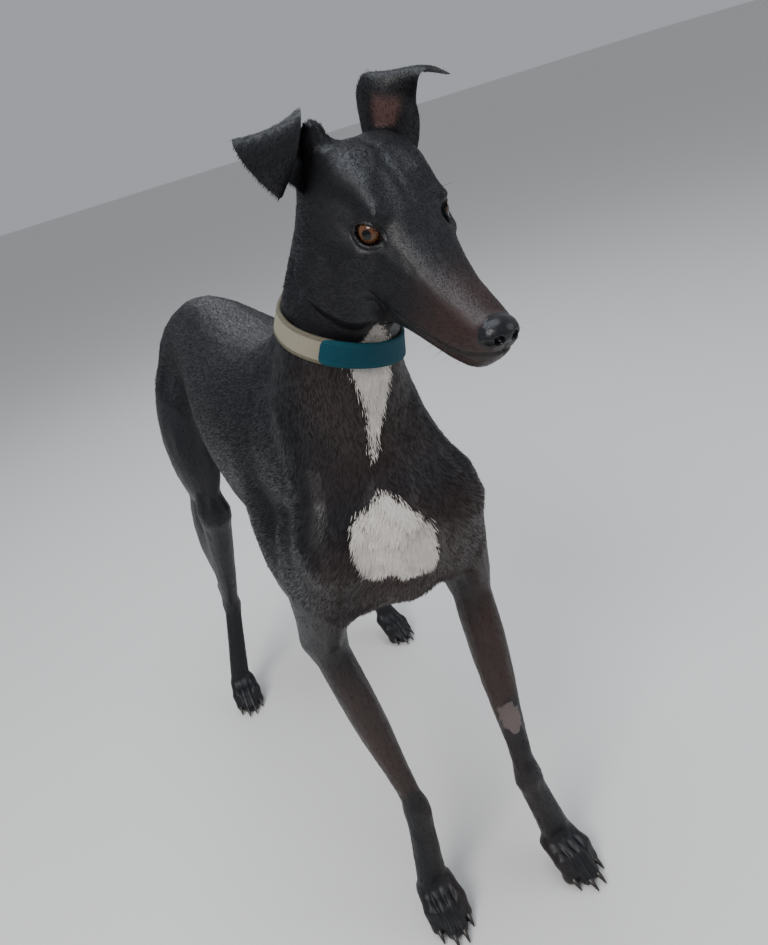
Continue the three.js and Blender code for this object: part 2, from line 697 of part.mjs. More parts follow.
const bodySurface = surfaceTriangles(bodyDistance, [-230, -330, -18], [230, 730, 920], unitsAt);
const wholeBody = thinOut(bodySurface, toleranceAt);
const floorBox = new THREE.BoxGeometry(2000, 2000, 100).translate(0, 0, -50);
let body = largest(solidOf(geometryOf(wholeBody)).subtract(solidOf(floorBox)));

// Every vertex of a solid moved along its normal
function grown(solid, by) {
  const geometry = mergeVertices(geometryFrom(solid), 1e-4);
  geometry.computeVertexNormals();
  const { position, normal } = geometry.attributes;
  for (let i = 0; i < position.count; i++) {
    const [x, y, z] = [position.getX(i), position.getY(i), position.getZ(i)];
    position.setXYZ(i, x + by * normal.getX(i), y + by * normal.getY(i), z + by * normal.getZ(i));
  }
  return solidOf(geometry);
}
const bodyWithGap = grown(body, CUT_GAP + 0.15);

// A matrix that turns and moves a shape drawn along X, Y and Z onto three directions at a place
function placed(geometry, directions, at) {
  const matrix = new THREE.Matrix4().makeBasis(...directions.map((v) => new THREE.Vector3(...v)));
  return geometry.applyMatrix4(matrix.setPosition(...at));
}

// A box with one face on a cut plane, reaching away from it
function boxBeyond(point, out, along, size, offset = 0) {
  const box = new THREE.BoxGeometry(...size).translate(0, 0, size[2] / 2 + offset);
  return solidOf(placed(box, frameAlong(along, out), point));
}

// Takes the part of the body beyond a plane away and returns it. The cut leaves a thin gap. A side keeps the cut to
// that half of the body.
function takeOff(point, out, along, size, side = 0) {
  const half = side ? solidOf(new THREE.BoxGeometry(400, 2000, 2000).translate(side * 200, 0, 0)) : null;
  const [piece, room] = [0, -CUT_GAP].map((offset) => {
    const box = boxBeyond(point, out, along, size, offset);
    return half ? box.intersect(half) : box;
  });
  const taken = largest(body.intersect(piece));
  body = largest(body.subtract(room));
  return taken;
}

// Head: sockets with almond openings, the line of the mouth and the nostrils
const EYE_SIDES = [14, 10];
const LID_HALF_WIDTH = 12.4;
const LID_HALF_HEIGHT = 6.6;
function almondPrism({ centre, look, along, up }) {
  const outline = new THREE.Shape();
  outline.moveTo(-LID_HALF_WIDTH, 0);
  outline.quadraticCurveTo(0, LID_HALF_HEIGHT * 2, LID_HALF_WIDTH, 0);
  outline.quadraticCurveTo(0, -LID_HALF_HEIGHT * 2, -LID_HALF_WIDTH, 0);
  const prism = new THREE.ExtrudeGeometry(outline, { depth: 40, bevelEnabled: false, curveSegments: 5 });
  const turned = length(cross(along, up).map((v, i) => v - look[i])) < 0.1 ? along : scale(along, -1);
  return solidOf(placed(placed(prism, [turned, up, look], centre), headAxes, headCentre));
}
const eyeBall = (centre, radius) =>
  solidOf(new THREE.SphereGeometry(radius, ...EYE_SIDES).translate(...fromHead(...centre)));

const mouthLine = curveThrough([
  [18, -54],
  [40, -57],
  [62, -57],
  [88, -54],
  [108, -49],
  [126, -43],
]);
const MOUTH_OPENING = 1.5;
const MOUTH_DEPTH = 2.6;
function mouthCut(head) {
  const stations = Array.from({ length: 13 }, (_, i) => 18 + (i * 114) / 12);
  const edge = (side) =>
    stations.map((x, i) => new THREE.Vector2(x, mouthLine(x)[1] + (side * MOUTH_OPENING * Math.min(i, 1)) / 2));
  const outline = new THREE.Shape([...edge(1), ...edge(-1).slice(1).reverse()]);
  const slab = new THREE.ExtrudeGeometry(outline, { depth: 90, bevelEnabled: false }).translate(0, 0, -45);
  const across = scale(headLeft, -1);
  return solidOf(placed(slab, [headForward, headUp, across], headCentre)).subtract(grown(head, -MOUTH_DEPTH));
}
const nostrilSizes = [
  { at: [127, 6.6, -31], radii: [8, 3.1, 3.4], tilt: 0 },
  { at: [121, 12.4, -33.5], radii: [7, 4, 1.5], tilt: -0.5 },
];
function nostrils() {
  return SIDES.flatMap(({ s }) =>
    nostrilSizes.map(({ at, radii, tilt }) => {
      const ball = new THREE.SphereGeometry(1, 8, 6).scale(...radii).rotateX(s * tilt);
      return solidOf(placed(ball, headAxes, fromHead(at[0], s * at[1], at[2])));
    }),
  );
}

// Ears: a leaf bent along its middle line and hollowed across it. Rows: place along, the middle point, half width,
// the direction across, and how far the edges come forward of the middle.
const earRows = {
  right: [
    [0, -84, -34, 14, 21, 0.78, -0.6, -0.16, 8],
    [0.18, -87, -42, 30, 25, 0.7, -0.7, -0.12, 10],
    [0.36, -89, -56, 48, 29, 0.35, -0.93, -0.1, 9],
    [0.52, -82, -70, 60, 30, 0.06, -1, -0.16, 5],
    [0.62, -72, -75, 57, 28, 0, -1, -0.2, 2],
    [0.8, -62, -76, 39, 18, 0, -1, -0.2, -1],
    [0.93, -60, -76, 24, 8, 0, -1, -0.2, -1],
    [1, -61, -76, 15, 1.5, 0, -1, -0.2, 0],
  ],
  left: [
    [0, -86, 34, 14, 22, 0.74, 0.66, -0.14, 8],
    [0.18, -89, 34, 30, 26, 0.74, 0.66, -0.16, 12],
    [0.36, -92, 34, 50, 28, 0.74, 0.62, -0.22, 12],
    [0.52, -93, 38, 66, 24, 0.8, 0.5, -0.3, 9],
    [0.64, -90, 48, 75, 18, 0.9, 0.2, 0.1, 5],
    [0.8, -84, 66, 77, 12, 0.9, -0.1, 0.4, 3],
    [0.93, -80, 80, 72, 6, 0.9, -0.1, 0.4, 1],
    [1, -78, 88, 68, 1.5, 0.9, -0.1, 0.4, 0],
  ],
};
const EAR_THICKNESS = 2;
const EAR_STEPS = 12;
const EAR_ACROSS = 6;
function earSolid(rows, s) {
  const at = curveThrough(rows);
  const middle = (u, v) => {
    const [, x, y, z, half, ax, ay, az, cup] = at(u);
    const [, x2, y2, z2] = at(Math.min(u + 0.02, 1));
    const [, x1, y1, z1] = at(Math.max(u - 0.02, 0));
    const across = unit([ax, ay, az]);
    const open = unit(scale(cross(unit([x2 - x1, y2 - y1, z2 - z1]), across), s));
    return add(add([x, y, z], scale(across, v * half)), scale(open, cup * v * v));
  };
  const sheet = (side) => {
    const points = [];
    for (let i = 0; i <= EAR_STEPS; i++)
      for (let j = 0; j <= EAR_ACROSS; j++) {
        const [u, v] = [i / EAR_STEPS, (2 * j) / EAR_ACROSS - 1];
        const du = sub(middle(Math.min(u + 0.01, 1), v), middle(Math.max(u - 0.01, 0), v));
        const dv = sub(middle(u, Math.min(v + 0.02, 1)), middle(u, Math.max(v - 0.02, -1)));
        const thick = EAR_THICKNESS * (1 - 0.55 * v * v) * (1 - 0.4 * u);
        points.push(fromHead(...add(middle(u, v), scale(unit(cross(du, dv)), (side * thick) / 2))));
      }
    return points;
  };
  const points = [...sheet(1), ...sheet(-1)];
  const count = points.length / 2;
  const id = (i, j, side) => i * (EAR_ACROSS + 1) + j + side * count;
  const triangles = [];
  const quad = (a, b, c, d) => triangles.push([a, b, c], [a, c, d]);
  for (let i = 0; i < EAR_STEPS; i++)
    for (let j = 0; j < EAR_ACROSS; j++) {
      quad(id(i, j, 0), id(i + 1, j, 0), id(i + 1, j + 1, 0), id(i, j + 1, 0));
      const far = id(i + 1, j + 1, 1);
      triangles.push([id(i, j, 1), far, id(i + 1, j, 1)], [id(i, j, 1), id(i, j + 1, 1), far]);
    }
  const rim = [];
  for (let j = 0; j < EAR_ACROSS; j++) rim.push([0, j]);
  for (let i = 0; i < EAR_STEPS; i++) rim.push([i, EAR_ACROSS]);
  for (let j = EAR_ACROSS; j > 0; j--) rim.push([EAR_STEPS, j]);
  for (let i = EAR_STEPS; i > 0; i--) rim.push([i, 0]);
  rim.forEach(([i, j], n) => {
    const [k, l] = rim[(n + 1) % rim.length];
    quad(id(i, j, 0), id(k, l, 0), id(k, l, 1), id(i, j, 1));
  });
  const solid = solidOf(geometryOf({ points, triangles }));
  return largest(solid.subtract(bodyWithGap));
}

// Claws: short bent cones at the ends of the toes
function claw(base, tip, radius) {
  const along = sub(tip, base);
  const cone = new THREE.ConeGeometry(radius, length(along), 6, 2).translate(0, length(along) / 2, 0);
  const [e1, e2, e3] = frameAlong(along, [0, 0.01, 1]);
  return solidOf(placed(cone, [e2, e1, scale(e3, -1)], base));
}
function toeClaws(paw, turn, size) {
  const at = pawFrame(paw, turn, size);
  return TOES.map((t) => {
    const reach = toeReach(t);
    const x = t * TOE_SPREAD * 1.05;
    return claw(at(x, reach - 4.3, 12.2), at(x * 1.04, reach + 13, 3.7), 3.5 * size);
  });
}

// Collar: a band round the neck, level with its own tilt, in two colours, with a slide and a ring
const collarUp = unit([0.42, -0.3, 1]);
const collarAxes = (() => {
  const e1 = unit(sub([1, 0, 0], scale(collarUp, collarUp[0])));
  return [e1, cross(collarUp, e1), collarUp];
})();
const COLLAR_WIDTH = 23;
const COLLAR_THICKNESS = 2.6;
const COLLAR_STEPS = 36;
const TEAL_FROM = 239;
const TEAL_TO = 395;
const fromCollar = (x, y, z) =>
  add(collarCentre, add(add(scale(collarAxes[0], x), scale(collarAxes[1], y)), scale(collarAxes[2], z)));
function neckRadius(angle, height) {
  let [low, high] = [10, 130];
  for (let i = 0; i < 30; i++) {
    const r = (low + high) / 2;
    if (bodyDistance(...fromCollar(r * Math.cos(angle), r * Math.sin(angle), height)) < 0) low = r;
    else high = r;
  }
  return low;
}
function collarBand(fromAngle, toAngle) {
  const steps = Math.round((COLLAR_STEPS * (toAngle - fromAngle)) / 360);
  const points = [];
  for (let i = 0; i <= steps; i++) {
    const angle = radians(fromAngle + ((toAngle - fromAngle) * i) / steps);
    for (const [height, out] of [[-1, -3], [-1, 1], [1, 1], [1, -3]]) {
      const h = (height * COLLAR_WIDTH) / 2;
      const r = neckRadius(angle, h) + (out > 0 ? COLLAR_THICKNESS : out);
      points.push(fromCollar(r * Math.cos(angle), r * Math.sin(angle), h));
    }
  }
  const triangles = [[0, 1, 2], [0, 2, 3]];
  for (let i = 0; i < steps; i++)
    for (let k = 0; k < 4; k++) {
      const [a, b] = [4 * i + k, 4 * i + ((k + 1) % 4)];
      triangles.push([a, a + 4, b + 4], [a, b + 4, b]);
    }
  const end = 4 * steps;
  triangles.push([end, end + 2, end + 1], [end, end + 3, end + 2]);
  return largest(solidOf(geometryOf({ points, triangles })).subtract(bodyWithGap));
}
const bandGap = 0.35; // degrees left between the two colours
const slideAngle = radians(48);
const atSlide = (out, height, angle = slideAngle) => {
  const r = neckRadius(angle, height) + COLLAR_THICKNESS + out;
  return fromCollar(r * Math.cos(angle), r * Math.sin(angle), height);
};
const slideUp = unit(sub(atSlide(0, 11), atSlide(0, -11)));
const slideAlong = unit(sub(atSlide(0, 0, slideAngle + 0.1), atSlide(0, 0, slideAngle - 0.1)));
const slideAxes = frameAlong(slideAlong, cross(slideAlong, slideUp));
const SLIDE_SIZE = [24, 29, 5];
const SLIDE_LIFT = 1.2;

const pieces = {};
const looks = {};
const coat = { color: 0x16151a, roughness: 0.55 };
function keep(name, solid, look = coat) {
  pieces[name] = solid;
  looks[name] = look;
}

keep("tail", takeOff([0, 590, 628], [0, 0.82, -0.57], [1, 0, 0], [90, 700, 700]));
const headPlane = add(scale(headForward, 0.5), scale(headUp, 0.87));
let head = takeOff(fromHead(-78, 0, -70), headPlane, headLeft, [400, 400, 400]);
head = head.subtract(mouthCut(head));
for (const nostril of nostrils()) head = head.subtract(nostril);
for (const eye of eyes) {
  head = head.subtract(eyeBall(eye.centre, EYE_RADIUS + EYE_CLEARANCE)).subtract(almondPrism(eye));
}
keep("head", largest(head));
for (const { name, centre } of eyes) {
  keep(`eye_${name}`, eyeBall(centre, EYE_RADIUS), { color: 0x6b3d14, roughness: 0.1 });
}
for (const { name, s } of SIDES) keep(`ear_${name}`, earSolid(earRows[name], s));
keep("neck", takeOff([0, 44, 700], [0, -0.59, 0.81], [1, 0, 0], [400, 500, 400]));
for (const { name, s } of SIDES) {
  const fore = takeOff([s * 45, -58, 414], [s * 0.72, 0, -0.69], [s * 0.69, 0, 0.72], [800, 230, 700], s);
  const hind = takeOff([s * 34, 500, 505], [s * 0.84, 0, -0.54], [s * 0.54, 0, 0.84], [900, 340, 800], s);
  const ends = [
    ["fore", fore, foreJoints[name]],
    ["hind", hind, hindJoints[name]],
  ];
  for (const [end, leg, { paw, turn }] of ends) {
    const low = (offset) => boxBeyond([paw[0], paw[1], 56], [0, 0, -1], [1, 0, 0], [200, 200, 100], offset);
    let foot = leg.intersect(low(0));
    for (const one of toeClaws(paw, turn, pawSizes[end])) foot = foot.add(one);
    keep(`${end}leg_${name}`, largest(leg.subtract(low(-CUT_GAP))));
    keep(`${end}paw_${name}`, largest(foot));
  }
}
keep("torso", body);
keep("collar_teal", collarBand(TEAL_FROM + bandGap, TEAL_TO), { color: 0x0f6f7d, roughness: 0.7 });
keep("collar_cream", collarBand(TEAL_TO - 360 + bandGap, TEAL_FROM), { color: 0xb9b29a, roughness: 0.9 });
const slideBox = new THREE.BoxGeometry(...SLIDE_SIZE);
const slide = solidOf(placed(slideBox, slideAxes, atSlide(SLIDE_SIZE[2] / 2 + SLIDE_LIFT, 0)));
const bands = grown(pieces.collar_teal, 1).add(grown(pieces.collar_cream, 1));
keep("collar_slide", largest(slide.subtract(bodyWithGap).subtract(bands)), { color: 0x202022, roughness: 0.4 });
const ring = new THREE.TorusGeometry(10.5, 1.7, 6, 16);
const ringPlace = atSlide(SLIDE_SIZE[2] + 4, -12);
const metal = { color: 0xb5b8bc, roughness: 0.25, metalness: 1 };
keep("collar_ring", solidOf(placed(ring, slideAxes, ringPlace)), metal);

const group = new THREE.Group();
for (const [name, solid] of Object.entries(pieces)) {
  const mesh = new THREE.Mesh(finished(solid), new THREE.MeshStandardMaterial(looks[name]));
  mesh.name = name;
  group.add(mesh);
}
const outline = new THREE.Box3().setFromObject(group).getCenter(new THREE.Vector3());
group.position.set(-outline.x, -outline.y, 0);
export default group;
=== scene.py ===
import json
import math
import bpy
import numpy as np
from mathutils import Matrix, Vector
from mathutils.bvhtree import BVHTree

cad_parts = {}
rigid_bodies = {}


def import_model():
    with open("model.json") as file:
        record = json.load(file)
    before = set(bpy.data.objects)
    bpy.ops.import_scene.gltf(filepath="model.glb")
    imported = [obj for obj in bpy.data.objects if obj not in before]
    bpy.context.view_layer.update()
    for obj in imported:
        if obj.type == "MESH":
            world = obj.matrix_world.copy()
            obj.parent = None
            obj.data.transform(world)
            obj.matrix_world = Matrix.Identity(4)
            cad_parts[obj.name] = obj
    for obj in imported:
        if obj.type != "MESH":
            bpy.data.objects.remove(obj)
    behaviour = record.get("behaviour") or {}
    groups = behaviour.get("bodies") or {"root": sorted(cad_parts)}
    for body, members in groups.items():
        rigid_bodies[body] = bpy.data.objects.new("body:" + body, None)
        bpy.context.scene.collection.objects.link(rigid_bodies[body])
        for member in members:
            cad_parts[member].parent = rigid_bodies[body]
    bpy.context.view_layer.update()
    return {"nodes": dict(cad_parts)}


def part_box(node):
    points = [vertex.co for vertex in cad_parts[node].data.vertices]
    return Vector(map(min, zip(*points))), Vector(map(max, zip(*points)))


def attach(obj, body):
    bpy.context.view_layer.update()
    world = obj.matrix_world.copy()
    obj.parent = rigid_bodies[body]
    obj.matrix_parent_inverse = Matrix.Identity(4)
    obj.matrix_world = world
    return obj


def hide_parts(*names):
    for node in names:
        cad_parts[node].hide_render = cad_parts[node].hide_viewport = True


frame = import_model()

rng = np.random.default_rng(7)

# The right eye's box ties the dog's own frame (mm, unmoved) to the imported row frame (m)
eyeLow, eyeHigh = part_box("eye_right")
shift = (np.array(eyeLow) + np.array(eyeHigh)) / 2 - np.array((0.024045, -0.173804, 0.808268))
headAxes = np.array(((0, -0.9135, -0.4067), (0.9986, 0.0213, -0.0478), (0.0523, -0.4061, 0.9123)))
headCentre = np.array((52.0, -180.0, 805.0))


def toDog(points):
    return (np.asarray(points) - shift) * 1000


def fromDog(points):
    return np.asarray(points) / 1000 + shift


def toHead(points):
    return (toDog(points) - headCentre) @ headAxes.T


def fromHead(points):
    return fromDog(headCentre + np.asarray(points) @ headAxes)


def unit(v):
    v = np.asarray(v, float)
    return v / np.maximum(np.linalg.norm(v, axis=-1, keepdims=True), 1e-9)


def ramp(x, low, high):
    t = np.clip((x - low) / (high - low), 0, 1)
    return t * t * (3 - 2 * t)


def dent(distance, width):
    return np.exp(-((distance / width) ** 2))


# Mesh helpers
def activate(obj):
    bpy.ops.object.select_all(action="DESELECT")
    obj.select_set(True)
    bpy.context.view_layer.objects.active = obj


def applied(obj, kind, **settings):
    activate(obj)
    modifier = obj.modifiers.new(kind.title(), kind)
    for key, value in settings.items():
        setattr(modifier, key, value)
    bpy.ops.object.modifier_apply(modifier=modifier.name)
    return obj


def nodeCopy(name):
    source = frame["nodes"][name]
    obj = bpy.data.objects.new(name + "Copy", source.data.copy())
    obj.data.materials.clear()
    bpy.context.scene.collection.objects.link(obj)
    activate(obj)
    bpy.ops.object.mode_set(mode="EDIT")
    bpy.ops.mesh.select_all(action="SELECT")
    bpy.ops.mesh.remove_doubles(threshold=1e-5)
    bpy.ops.mesh.normals_make_consistent(inside=False)
    bpy.ops.object.mode_set(mode="OBJECT")
    return obj


def joined(objs, name):
    activate(objs[0])
    for obj in objs[1:]:
        obj.select_set(True)
    if len(objs) > 1:
        bpy.ops.object.join()
    objs[0].name = objs[0].data.name = name
    return objs[0]


def points(obj):
    co = np.empty(len(obj.data.vertices) * 3)
    obj.data.vertices.foreach_get("co", co)
    return co.reshape(-1, 3)


def normals(obj):
    obj.data.update()
    out = np.empty(len(obj.data.vertices) * 3)
    obj.data.vertex_normals.foreach_get("vector", out)
    return out.reshape(-1, 3)


def move(obj, co):
    obj.data.vertices.foreach_set("co", np.ascontiguousarray(co, dtype=float).ravel())
    obj.data.update()


def edgesOf(obj):
    out = np.empty(len(obj.data.edges) * 2, np.int32)
    obj.data.edges.foreach_get("vertices", out)
    return out.reshape(-1, 2)


def spread(values, edges, weight, steps):
    # Each step moves every value towards (or, if negative, away from) its neighbours' mean
    a, b = edges[:, 0], edges[:, 1]
    count = np.maximum(np.bincount(edges.ravel(), minlength=len(values)), 1)
    columns = [values[:, k].copy() for k in range(values.shape[1])]
    for step in steps:
        for k, column in enumerate(columns):
            mean = (np.bincount(a, column[b], len(column)) + np.bincount(b, column[a], len(column))) / count
            columns[k] = column + step * weight * (mean - column)
    return np.stack(columns, 1)


def meshFrom(name, co, faces, material=None):
    # faces is a list of arrays, each with one row of vertex numbers per face
    mesh = bpy.data.meshes.new(name)
    co = np.asarray(co, float)
    mesh.vertices.add(len(co))
    mesh.vertices.foreach_set("co", co.ravel())
    corners = np.concatenate([f.ravel() for f in faces]).astype(np.int32)
    totals = np.concatenate([np.full(len(f), f.shape[1]) for f in faces])
    mesh.loops.add(len(corners))
    mesh.loops.foreach_set("vertex_index", corners)
    mesh.polygons.add(len(totals))
    mesh.polygons.foreach_set("loop_start", np.concatenate(([0], np.cumsum(totals)[:-1])).astype(np.int32))
    mesh.update(calc_edges=True)
    mesh.shade_smooth()
    obj = bpy.data.objects.new(name, mesh)
    bpy.context.scene.collection.objects.link(obj)
    if material:
        mesh.materials.append(material)
    return obj


def putField(obj, name, values):
    attribute = obj.data.attributes.new(name, "FLOAT", "POINT")
    attribute.data.foreach_set("value", np.asarray(values, np.float32))


def putColour(obj, name, colours):
    attribute = obj.data.color_attributes.new(name, "FLOAT_COLOR", "POINT")
    full = np.ones((len(colours), 4), np.float32)
    full[:, :3] = colours
    attribute.data.foreach_set("color", full.ravel())


def cornerVertices(obj):
    out = np.empty(len(obj.data.loops), np.int32)
    obj.data.loops.foreach_get("vertex_index", out)
    return out


def putMap(obj, name, uv):
    layer = obj.data.uv_layers.new(name=name)
    layer.data.foreach_set("uv", np.asarray(uv, np.float32).ravel())


def sleeve(rows, sides, closed=False):
    # Faces of a run of rings; unless closed, fans fill its ends round two points added after the rings
    i, j = np.meshgrid(np.arange(rows if closed else rows - 1), np.arange(sides), indexing="ij")
    k, l = (i + 1) % rows, (j + 1) % sides
    wall = np.stack((i * sides + j, i * sides + l, k * sides + l, k * sides + j), -1).reshape(-1, 4)
    if closed:
        return [wall]
    ring, count, last = np.arange(sides), rows * sides, (rows - 1) * sides
    start = np.stack((np.full(sides, count), np.roll(ring, -1), ring), 1)
    end = np.stack((np.full(sides, count + 1), ring + last, np.roll(ring, -1) + last), 1)
    return [wall, np.concatenate((start, end))]


def tube(path, radii, sides=10, closed=False):
    # A round tube along a path, with its own radius at each point; closed joins its ends
    path, radii = np.asarray(path, float), np.broadcast_to(radii, len(path))
    along = unit(np.roll(path, -1, 0) - np.roll(path, 1, 0)) if closed else unit(np.gradient(path, axis=0))
    side = np.cross(along[0], (0.3, 0.2, 0.93))
    angle = np.linspace(0, 2 * np.pi, sides, endpoint=False)[:, None]
    rings = []
    for p, t, r in zip(path, along, radii):
        side = unit(side - t * (side @ t))
        other = np.cross(t, side)
        rings.append(p + r * (np.cos(angle) * side + np.sin(angle) * other))
    if not closed:
        rings += [path[:1], path[-1:]]
    return np.concatenate(rings), sleeve(len(path), sides, closed)


def several(parts):
    # Joins (co, faces) pairs into one
    co, faces, base = [], {3: [], 4: []}, 0
    for c, fs in parts:
        co.append(c)
        for f in fs:
            faces[f.shape[1]].append(f + base)
        base += len(c)
    return np.concatenate(co), [np.concatenate(f) for f in faces.values() if f]


# Shader graphs
class Wire:
    def __init__(self, graph, socket):
        self.graph, self.socket = graph, socket

    def __add__(self, other):
        return self.graph.maths("ADD", self, other)

    def __sub__(self, other):
        return self.graph.maths("SUBTRACT", self, other)

    def __mul__(self, other):
        return self.graph.maths("MULTIPLY", self, other)

    def __radd__(self, other):
        return self.graph.maths("ADD", other, self)

    def __rsub__(self, other):
        return self.graph.maths("SUBTRACT", other, self)

    def __rmul__(self, other):
        return self.graph.maths("MULTIPLY", other, self)

    def clamped(self, low=0.0, high=1.0):
        return self.graph.maths("MINIMUM", self.graph.maths("MAXIMUM", self, low), high)

    def between(self, low, high):
        smooth = {"interpolation_type": "SMOOTHSTEP"}
        return self.graph.node("ShaderNodeMapRange", smooth, {0: self, 1: low, 2: high})


class Graph:
    def __init__(self, name, **constants):
        self.material = bpy.data.materials.new(name)
        self.material.use_nodes = True
        self.tree = self.material.node_tree
        self.shader = next(n for n in self.tree.nodes if n.type == "BSDF_PRINCIPLED")
        for key, value in constants.items():
            self.shader.inputs[key.replace("_", " ")].default_value = value

    def put(self, socket, value):
        if isinstance(value, Wire):
            self.tree.links.new(value.socket, socket)
        else:
            socket.default_value = (*value, 1) if socket.type == "RGBA" and len(value) == 3 else value

    def node(self, kind, settings=None, inputs=None, output=0):
        made = self.tree.nodes.new(kind)
        for key, value in (settings or {}).items():
            setattr(made, key, value)
        for key, value in (inputs or {}).items():
            self.put(made.inputs[key], value)
        return Wire(self, made.outputs[output])

    def maths(self, operation, a, b):
        return self.node("ShaderNodeMath", {"operation": operation}, {0: a, 1: b})

    def mix(self, factor, a, b):
        return self.node("ShaderNodeMix", {"data_type": "RGBA"}, {0: factor, 6: a, 7: b}, 2)

    def mixValue(self, factor, a, b):
        return self.node("ShaderNodeMix", {}, {0: factor, 2: a, 3: b})

    def field(self, name):
        return self.node("ShaderNodeAttribute", {"attribute_name": name}, None, "Fac")

    def colourField(self, name):
        return self.node("ShaderNodeAttribute", {"attribute_name": name}, None, "Color")

    def place(self):
        return self.node("ShaderNodeTexCoord", None, None, "Object")

    def turned(self, vector, angles, scale):
        return self.node("ShaderNodeMapping", None, {"Vector": vector, "Rotation": angles, "Scale": scale})

    def split(self, vector):
        outputs = self.node("ShaderNodeSeparateXYZ", None, {0: vector}).socket.node.outputs
        return [Wire(self, output) for output in outputs]

    def noise(self, vector, scale, detail=2.0, roughness=0.5):
        inputs = {"Vector": vector, "Scale": scale, "Detail": detail, "Roughness": roughness}
        return self.node("ShaderNodeTexNoise", None, inputs)

    def bump(self, height, strength, distance, normal=None):
        inputs = {"Strength": strength, "Distance": distance, "Height": height}
        if normal:
            inputs["Normal"] = normal
        return self.node("ShaderNodeBump", None, inputs)

    def finish(self, **values):
        for key, value in values.items():
            self.put(self.shader.inputs[key.replace("_", " ")], value)
        return self.material


print("helpers ready")

# Markings, as fields over the dog's own millimetres that skin and tufts share; the nostrils' colour is
# partly painted shade
marks = {
    "black": (0.0045, 0.0045, 0.0062), "sheen": (0.03, 0.03, 0.034), "brown": (0.027, 0.0135, 0.0115),
    "white": (0.60, 0.56, 0.52), "whiteRoots": (0.42, 0.37, 0.33), "bare": (0.125, 0.095, 0.09),
    "bareDark": (0.075, 0.055, 0.055), "cup": (0.072, 0.032, 0.027), "cupPale": (0.09, 0.05, 0.045),
    # The nostril colour is the leather's own black, deepened by painted shade of the holes
    "nose": (0.008, 0.008, 0.010), "nostril": (0.0015, 0.0014, 0.0016), "lips": (0.006, 0.0055, 0.006),
    "eyeRim": (0.010, 0.0085, 0.0085),
    "edge": 3.0, "ragged": 10.0, "outside": -40.0, "patchCentre": (-20, 540), "patchHalf": (34, 35),
    # The stripe on the throat: height, middle and half width
    "blaze": ((612, -9, 0), (640, 0, 3.5), (664, 7, 7), (692, 11, 17),
              (708, 12, 16), (717, 16, 13), (725, 20, 8), (733, 24, -3)),
    "barePlace": (66, -91, 236), "bareHalf": (13, 30, 23),
    # Centres and half sizes in the head's frame; the nostrils are given for one side
    "noseBlobs": (((115, 0, -30), (12.5, 14.5, 10.5)), ((115, 8.5, -32), (10, 8, 9)),
                  ((115, -8.5, -32), (10, 8, 9))),
    "nostrilBlobs": (((127, 6.6, -31), (9, 4.2, 4.4)), ((121, 12.6, -33.5), (8, 4.5, 2.4))),
}


def whiteField(dog):
    # Above 0 in the white patch and stripe on the chest and throat
    x, y, z = dog.T
    (cx, cz), (hx, hz), outside = marks["patchCentre"], marks["patchHalf"], marks["outside"]
    patch = (1 - np.hypot((x - cx) / hx, (z - cz) / hz)) * hx
    heights, middles, halves = np.array(marks["blaze"]).T
    blaze = np.interp(z, heights, halves, outside, outside) - np.abs(x - np.interp(z, heights, middles))
    blaze = blaze + outside * ramp(-y, 149, 158)
    # Nicks of black in the patch's edges, and a tuft of white beyond one
    notch = 13 * dent(x + 29, 5) * ramp(-z, -526, -508) - 7 * dent(x - 8, 9) * ramp(-z, -530, -510)
    notch = notch - 8 * dent(x + 13, 9) * ramp(z, 556, 572) + 6 * dent(x - 10, 7) * ramp(z, 540, 560)
    return np.where(y < -95, np.maximum(patch - notch, blaze), outside)


def bareField(dog):
    return 1 - np.linalg.norm((dog - marks["barePlace"]) / marks["bareHalf"], axis=1)


def brownField(dog, head):
    x, y, z = dog.T
    muzzle = ramp(head[:, 0], 25, 85) * (head[:, 0] < 140) * ramp(-head[:, 2], -10, 25)
    throat = 0.55 * ramp(-y, 85, 115) * ramp(z, 560, 620) * (1 - ramp(z, 700, 740))
    legs = 0.5 * (1 - ramp(z, 330, 420)) * ramp(-y, -60, 60) * ramp(60 - np.abs(x), -20, 20)
    return np.clip(np.maximum(np.maximum(muzzle, throat), legs), 0, 1)


def inBlobs(places, blobs):
    depths = [1.0 - np.linalg.norm((places - np.array(c)) / np.array(r), axis=1) for c, r in blobs]
    return np.max(depths, axis=0)


def noseField(head):
    return inBlobs(head, marks["noseBlobs"])


def nostrilField(head):
    side = head.copy()
    side[:, 1] = np.abs(side[:, 1])
    return inBlobs(side, marks["nostrilBlobs"])


# Eyes: places in the head's frame, the turn outwards, and the almond opening that the skin leaves them
eyeLocal = {"right": np.array((-7.0, -28.0, -1.0)), "left": np.array((-7.0, 28.0, -1.0))}
eyeValues = {
    "outward": 55, "halfWidth": 12.4, "halfHeight": 6.6, "hooded": 0.9, "behind": 8.6,
    "radius": 11.5, "setBack": 1.0, "rise": 0.7, "iris": 9.0, "pupil": 3.6, "mapSide": 24.0,
    "rim": 0.6, "upperRim": 0.5, "rimDark": (0.010, 0.008, 0.008), "rimPale": (0.075, 0.052, 0.050),
    "irisDark": (0.040, 0.015, 0.007), "irisPale": (0.165, 0.070, 0.030), "irisEdge": (0.018, 0.009, 0.007),
    "black": (0.002, 0.002, 0.003), "whiteInner": (0.13, 0.10, 0.09), "whiteOuter": (0.05, 0.03, 0.028),
    "outlineSteps": 33,
}

